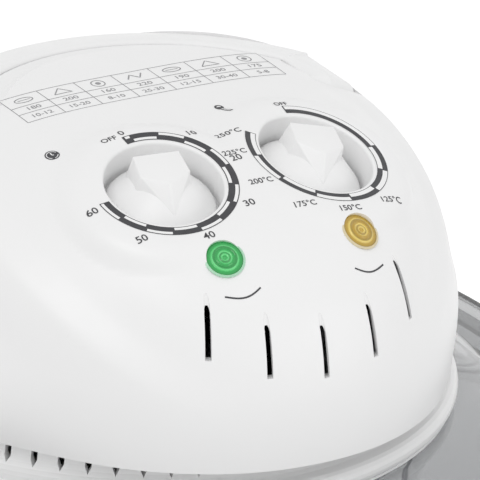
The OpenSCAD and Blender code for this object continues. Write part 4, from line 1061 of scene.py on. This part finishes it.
class OVEN_OT_glass(bpy.types.Operator):
    """Makes the domed glass lid and the deep glass bowl"""
    bl_idname = "oven.glass"
    bl_label = "Glass lid and bowl"

    def execute(self, context):
        lid = raw_mesh("domed_lid", *lathe(self.lid_profile(), 320))
        dress(lid, "lid", "lid_glass_clear", "clear_glass", 28, "lid_glass")
        bowl = raw_mesh("deep_bowl", *lathe(self.bowl_profile(), 320))
        dress(bowl, "bowl", "bowl_glass_clear", "clear_glass", 28, "glass_bowl")
        return {"FINISHED"}

    def lid_profile(self):
        """The lid's hole, its dome down to the step, its flat rim and the underside back to the hole."""
        wall, rim_z, top_z, low_z = 4.5, 190.0, 198.5, 194.0
        hole_r, neck_r, step_r, rim_r = 101.0, 114, 135.0, 156.5
        dome = [(step_r - 2 + (neck_r - step_r + 2) * k / 14,
                 rim_z + 2.5 + (top_z - rim_z - 2.5) * sin(radians(90 * k / 14)))
                for k in range(15)]
        profile = [(hole_r, low_z), (hole_r, top_z)] + dome[::-1]
        profile += [(step_r - 0.4, rim_z + 0.7), (step_r + 0.4, rim_z)]
        profile += curve_points(rim_r, rim_z - 2, 2, 90, 0, 8) + curve_points(rim_r, 180.3, 2, 0, -90, 8)
        profile += [(151.5, 178.3), (150.0, rim_z - wall), (step_r - 1, rim_z - wall)]
        return profile + [(r - 2.5, z - wall) for r, z in dome]

    def bowl_profile(self):
        """The bowl's floor, its leaning side and round rim, and back down on the inside."""
        floor_z, inner_floor, top, flat_r, top_r = 16.3, 21.3, 178.0, 100, 150
        bend, inner_bend = 32, 27.5
        lean = -math.degrees(math.atan2(top_r - flat_r - bend, top - floor_z - bend))
        outer = curve_points(flat_r, floor_z + bend, bend, -90, lean, 20)
        inner = curve_points(flat_r, floor_z + bend, inner_bend, lean, -90, 20)
        profile = [(0, floor_z)] + outer + [(top_r, top - 9)] + curve_points(153, top - 3, 3, -90, 90, 12)
        profile += [(146.5, top), (145.5, top - 1.5), (145.5, top - 9)] + inner
        return profile + [(96, inner_floor), (0, inner_floor)]


FINISH_NODES = {
    "white_plastic": ("stand", "lower_housing"),
    "grey_plastic": ("timer_body", "terminal_block"),
    "black_plastic": ("safety_switch", "cooling_fan"),
    "red_plastic": ("switch_plunger",),
    "black_rubber": ("rubber_feet", "cord_grommet"),
    "grey_silicone": ("lid_gasket",),
    "chrome_wire": ("cooking_rack", "fan_guard"),
    "zinc_steel": ("housing_screws", "clamp_screws", "heat_shield", "guard_screws", "motor_bracket",
                   "bearing_bridge", "control_screws", "thermal_cutout", "pivot_pins", "timer_shaft",
                   "thermostat_shaft", "motor_shaft", "fan_nut"),
    "bright_sheet": ("reflector_pan",),
    "fan_sheet": ("hot_air_fan",),
    "laminated_steel": ("motor_core", "motor_rotor"),
    "coil_tape": ("motor_coil",),
    "ceramic": ("tube_holders", "thermostat_body"),
    "ceramic_fibre": ("insulation_disc",),
    "quartz_tube": ("halogen_tube",),
    "neon_glass": ("neon_lamps",),
}


class OVEN_OT_finishes(bpy.types.Operator):
    """Gives every solid that stays as it is its own finish"""
    bl_idname = "oven.finishes"
    bl_label = "Finishes"

    def execute(self, context):
        kinds = {node: kind for kind, nodes in FINISH_NODES.items() for node in nodes}
        for node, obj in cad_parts.items():
            if obj.hide_render:
                continue
            if node not in kinds:
                raise RuntimeError("no finish is named for " + node)
            for place in obj.material_slots:
                place.material = finish(kinds[node])
        return {"FINISHED"}


def seen_directly(tree):
    """One for rays from the camera, from mirrors and through glass; nought for light that bounces."""
    path = add_node(tree, "LightPath").outputs
    inputs = {0: path["Is Camera Ray"], 1: path["Is Glossy Ray"]}
    first = add_node(tree, "Math", inputs, operation="MAXIMUM")
    inputs = {0: first.outputs["Value"], 1: path["Is Transmission Ray"]}
    return add_node(tree, "Math", inputs, operation="MAXIMUM").outputs["Value"]


class OVEN_OT_stage(bpy.types.Operator):
    """Sets up the floor, the soft light and the camera"""
    bl_idname = "oven.stage"
    bl_label = "Stage"

    def execute(self, context):
        s = settings().stage
        self.floor(s.floor_size, s.floor_glow)
        self.world(context, s.room_light)
        self.lamp("upper_left_lamp", (-1.5, -0.9, 1.9), 1.5, s.key_power)
        self.lamp("right_lamp", (1.0, -1.8, 0.55), 1.4, s.fill_power)
        self.camera(context, s.lens)
        context.scene.view_settings.view_transform = "Standard"
        return {"FINISHED"}

    def floor(self, size, lift):
        """A pale floor that the camera sees lifted to white, and that keeps the object's shadow."""
        cells = 24
        points = [(size * (i / cells - 0.5), size * (j / cells - 0.5), 0.0)
                  for j in range(cells + 1) for i in range(cells + 1)]
        faces = [(k, k + 1, k + cells + 2, k + cells + 1)
                 for k in range(cells * (cells + 1)) if (k + 1) % (cells + 1)]
        mesh = bpy.data.meshes.new("floor")
        mesh.from_pydata(points, [], faces)
        floor = new_object("floor", mesh)
        material = bpy.data.materials.new("pale_floor")
        material.use_nodes = True
        tree = material.node_tree
        tree.nodes.clear()
        plain = add_node(tree, "BsdfDiffuse", {"Color": (0.80, 0.80, 0.80, 1)})
        scale = add_node(tree, "Math", {0: seen_directly(tree), 1: lift}, operation="MULTIPLY")
        glow = add_node(tree, "Emission", {"Strength": scale.outputs["Value"]})
        both = add_node(tree, "AddShader", {0: plain.outputs["BSDF"], 1: glow.outputs["Emission"]})
        add_node(tree, "OutputMaterial", {"Surface": both.outputs["Shader"]})
        mesh.materials.append(material)

    def world(self, context, room_light):
        """Even light of the room, in front of a white background."""
        world = bpy.data.worlds.new("room")
        world.use_nodes = True
        tree = world.node_tree
        back = tree.nodes["Background"]
        inputs = {"Value": seen_directly(tree), "To Min": room_light, "To Max": 1.0}
        level = add_node(tree, "MapRange", inputs)
        tree.links.new(level.outputs["Result"], back.inputs["Strength"])
        back.inputs["Color"].default_value = (1, 1, 1, 1)
        context.scene.world = world

    def lamp(self, name, place, size, power):
        """A large round lamp aimed at the middle of the oven."""
        light = bpy.data.lights.new(name, "AREA")
        light.shape, light.size, light.energy = "DISK", size, power
        lamp = new_object(name, light)
        lamp.location = place
        aim = Vector((0, 0, 0.22)) - Vector(place)
        lamp.rotation_euler = aim.to_track_quat("-Z", "Y").to_euler()

    def camera(self, context, lens):
        """The photograph's view: a place in metres, and azimuth, elevation and roll in degrees."""
        azimuth, elevation, roll = (radians(v) for v in CAMERA_TURN)
        ahead = Vector((sin(azimuth) * cos(elevation), -cos(azimuth) * cos(elevation),
                        sin(elevation)))
        right = Vector((cos(azimuth), sin(azimuth), 0))
        up = ahead.cross(right)
        across = right * cos(roll) + up * sin(roll)
        upward = up * cos(roll) - right * sin(roll)
        data = bpy.data.cameras.new("camera")
        data.lens, data.sensor_width = lens, 36
        data.clip_start, data.clip_end = 0.05, 200
        camera = new_object("camera", data)
        turn = Matrix((across, upward, ahead)).transposed().to_4x4()
        camera.matrix_world = Matrix.Translation(CAMERA_PLACE) @ turn
        context.scene.camera = camera


STEPS = ("stage", "head", "handle", "knobs", "lamps", "dial_print", "lamp_marks", "guide", "glass",
         "finishes")


class OVEN_PT_panel(bpy.types.Panel):
    """Lists the pieces of the oven and their sizes and colours"""
    bl_idname = "OVEN_PT_panel"
    bl_label = "Halogen Oven"
    bl_space_type = "VIEW_3D"
    bl_region_type = "UI"
    bl_category = "Halogen Oven"

    def draw(self, context):
        layout = self.layout
        s = settings()
        for group in (s.head, s.dials, s.colours, s.stage):
            box = layout.box()
            for name in group.bl_rna.properties.keys():
                if name not in ("rna_type", "name"):
                    box.prop(group, name)
        layout.prop(s, "steps")
        for step in STEPS:
            layout.operator("oven." + step)


CLASSES = (
    OVEN_PG_head, OVEN_PG_dials, OVEN_PG_colours, OVEN_PG_stage, OVEN_PG_settings,
    OVEN_OT_stage, OVEN_OT_head, OVEN_OT_handle, OVEN_OT_knobs, OVEN_OT_lamps, OVEN_OT_dial_print,
    OVEN_OT_lamp_marks, OVEN_OT_guide, OVEN_OT_glass, OVEN_OT_finishes, OVEN_PT_panel,
)


def register():
    for cls in CLASSES:
        bpy.utils.register_class(cls)
    bpy.types.Scene.halogen_oven = PointerProperty(type=OVEN_PG_settings)


def unregister():
    del bpy.types.Scene.halogen_oven
    for cls in reversed(CLASSES):
        bpy.utils.unregister_class(cls)


def plain(box):
    """A box as plain lists of numbers."""
    return [[float(c) for c in corner] for corner in box]


def main():
    register()
    for step in STEPS:
        getattr(bpy.ops.oven, step)()


if __name__ == "__main__":
    main()
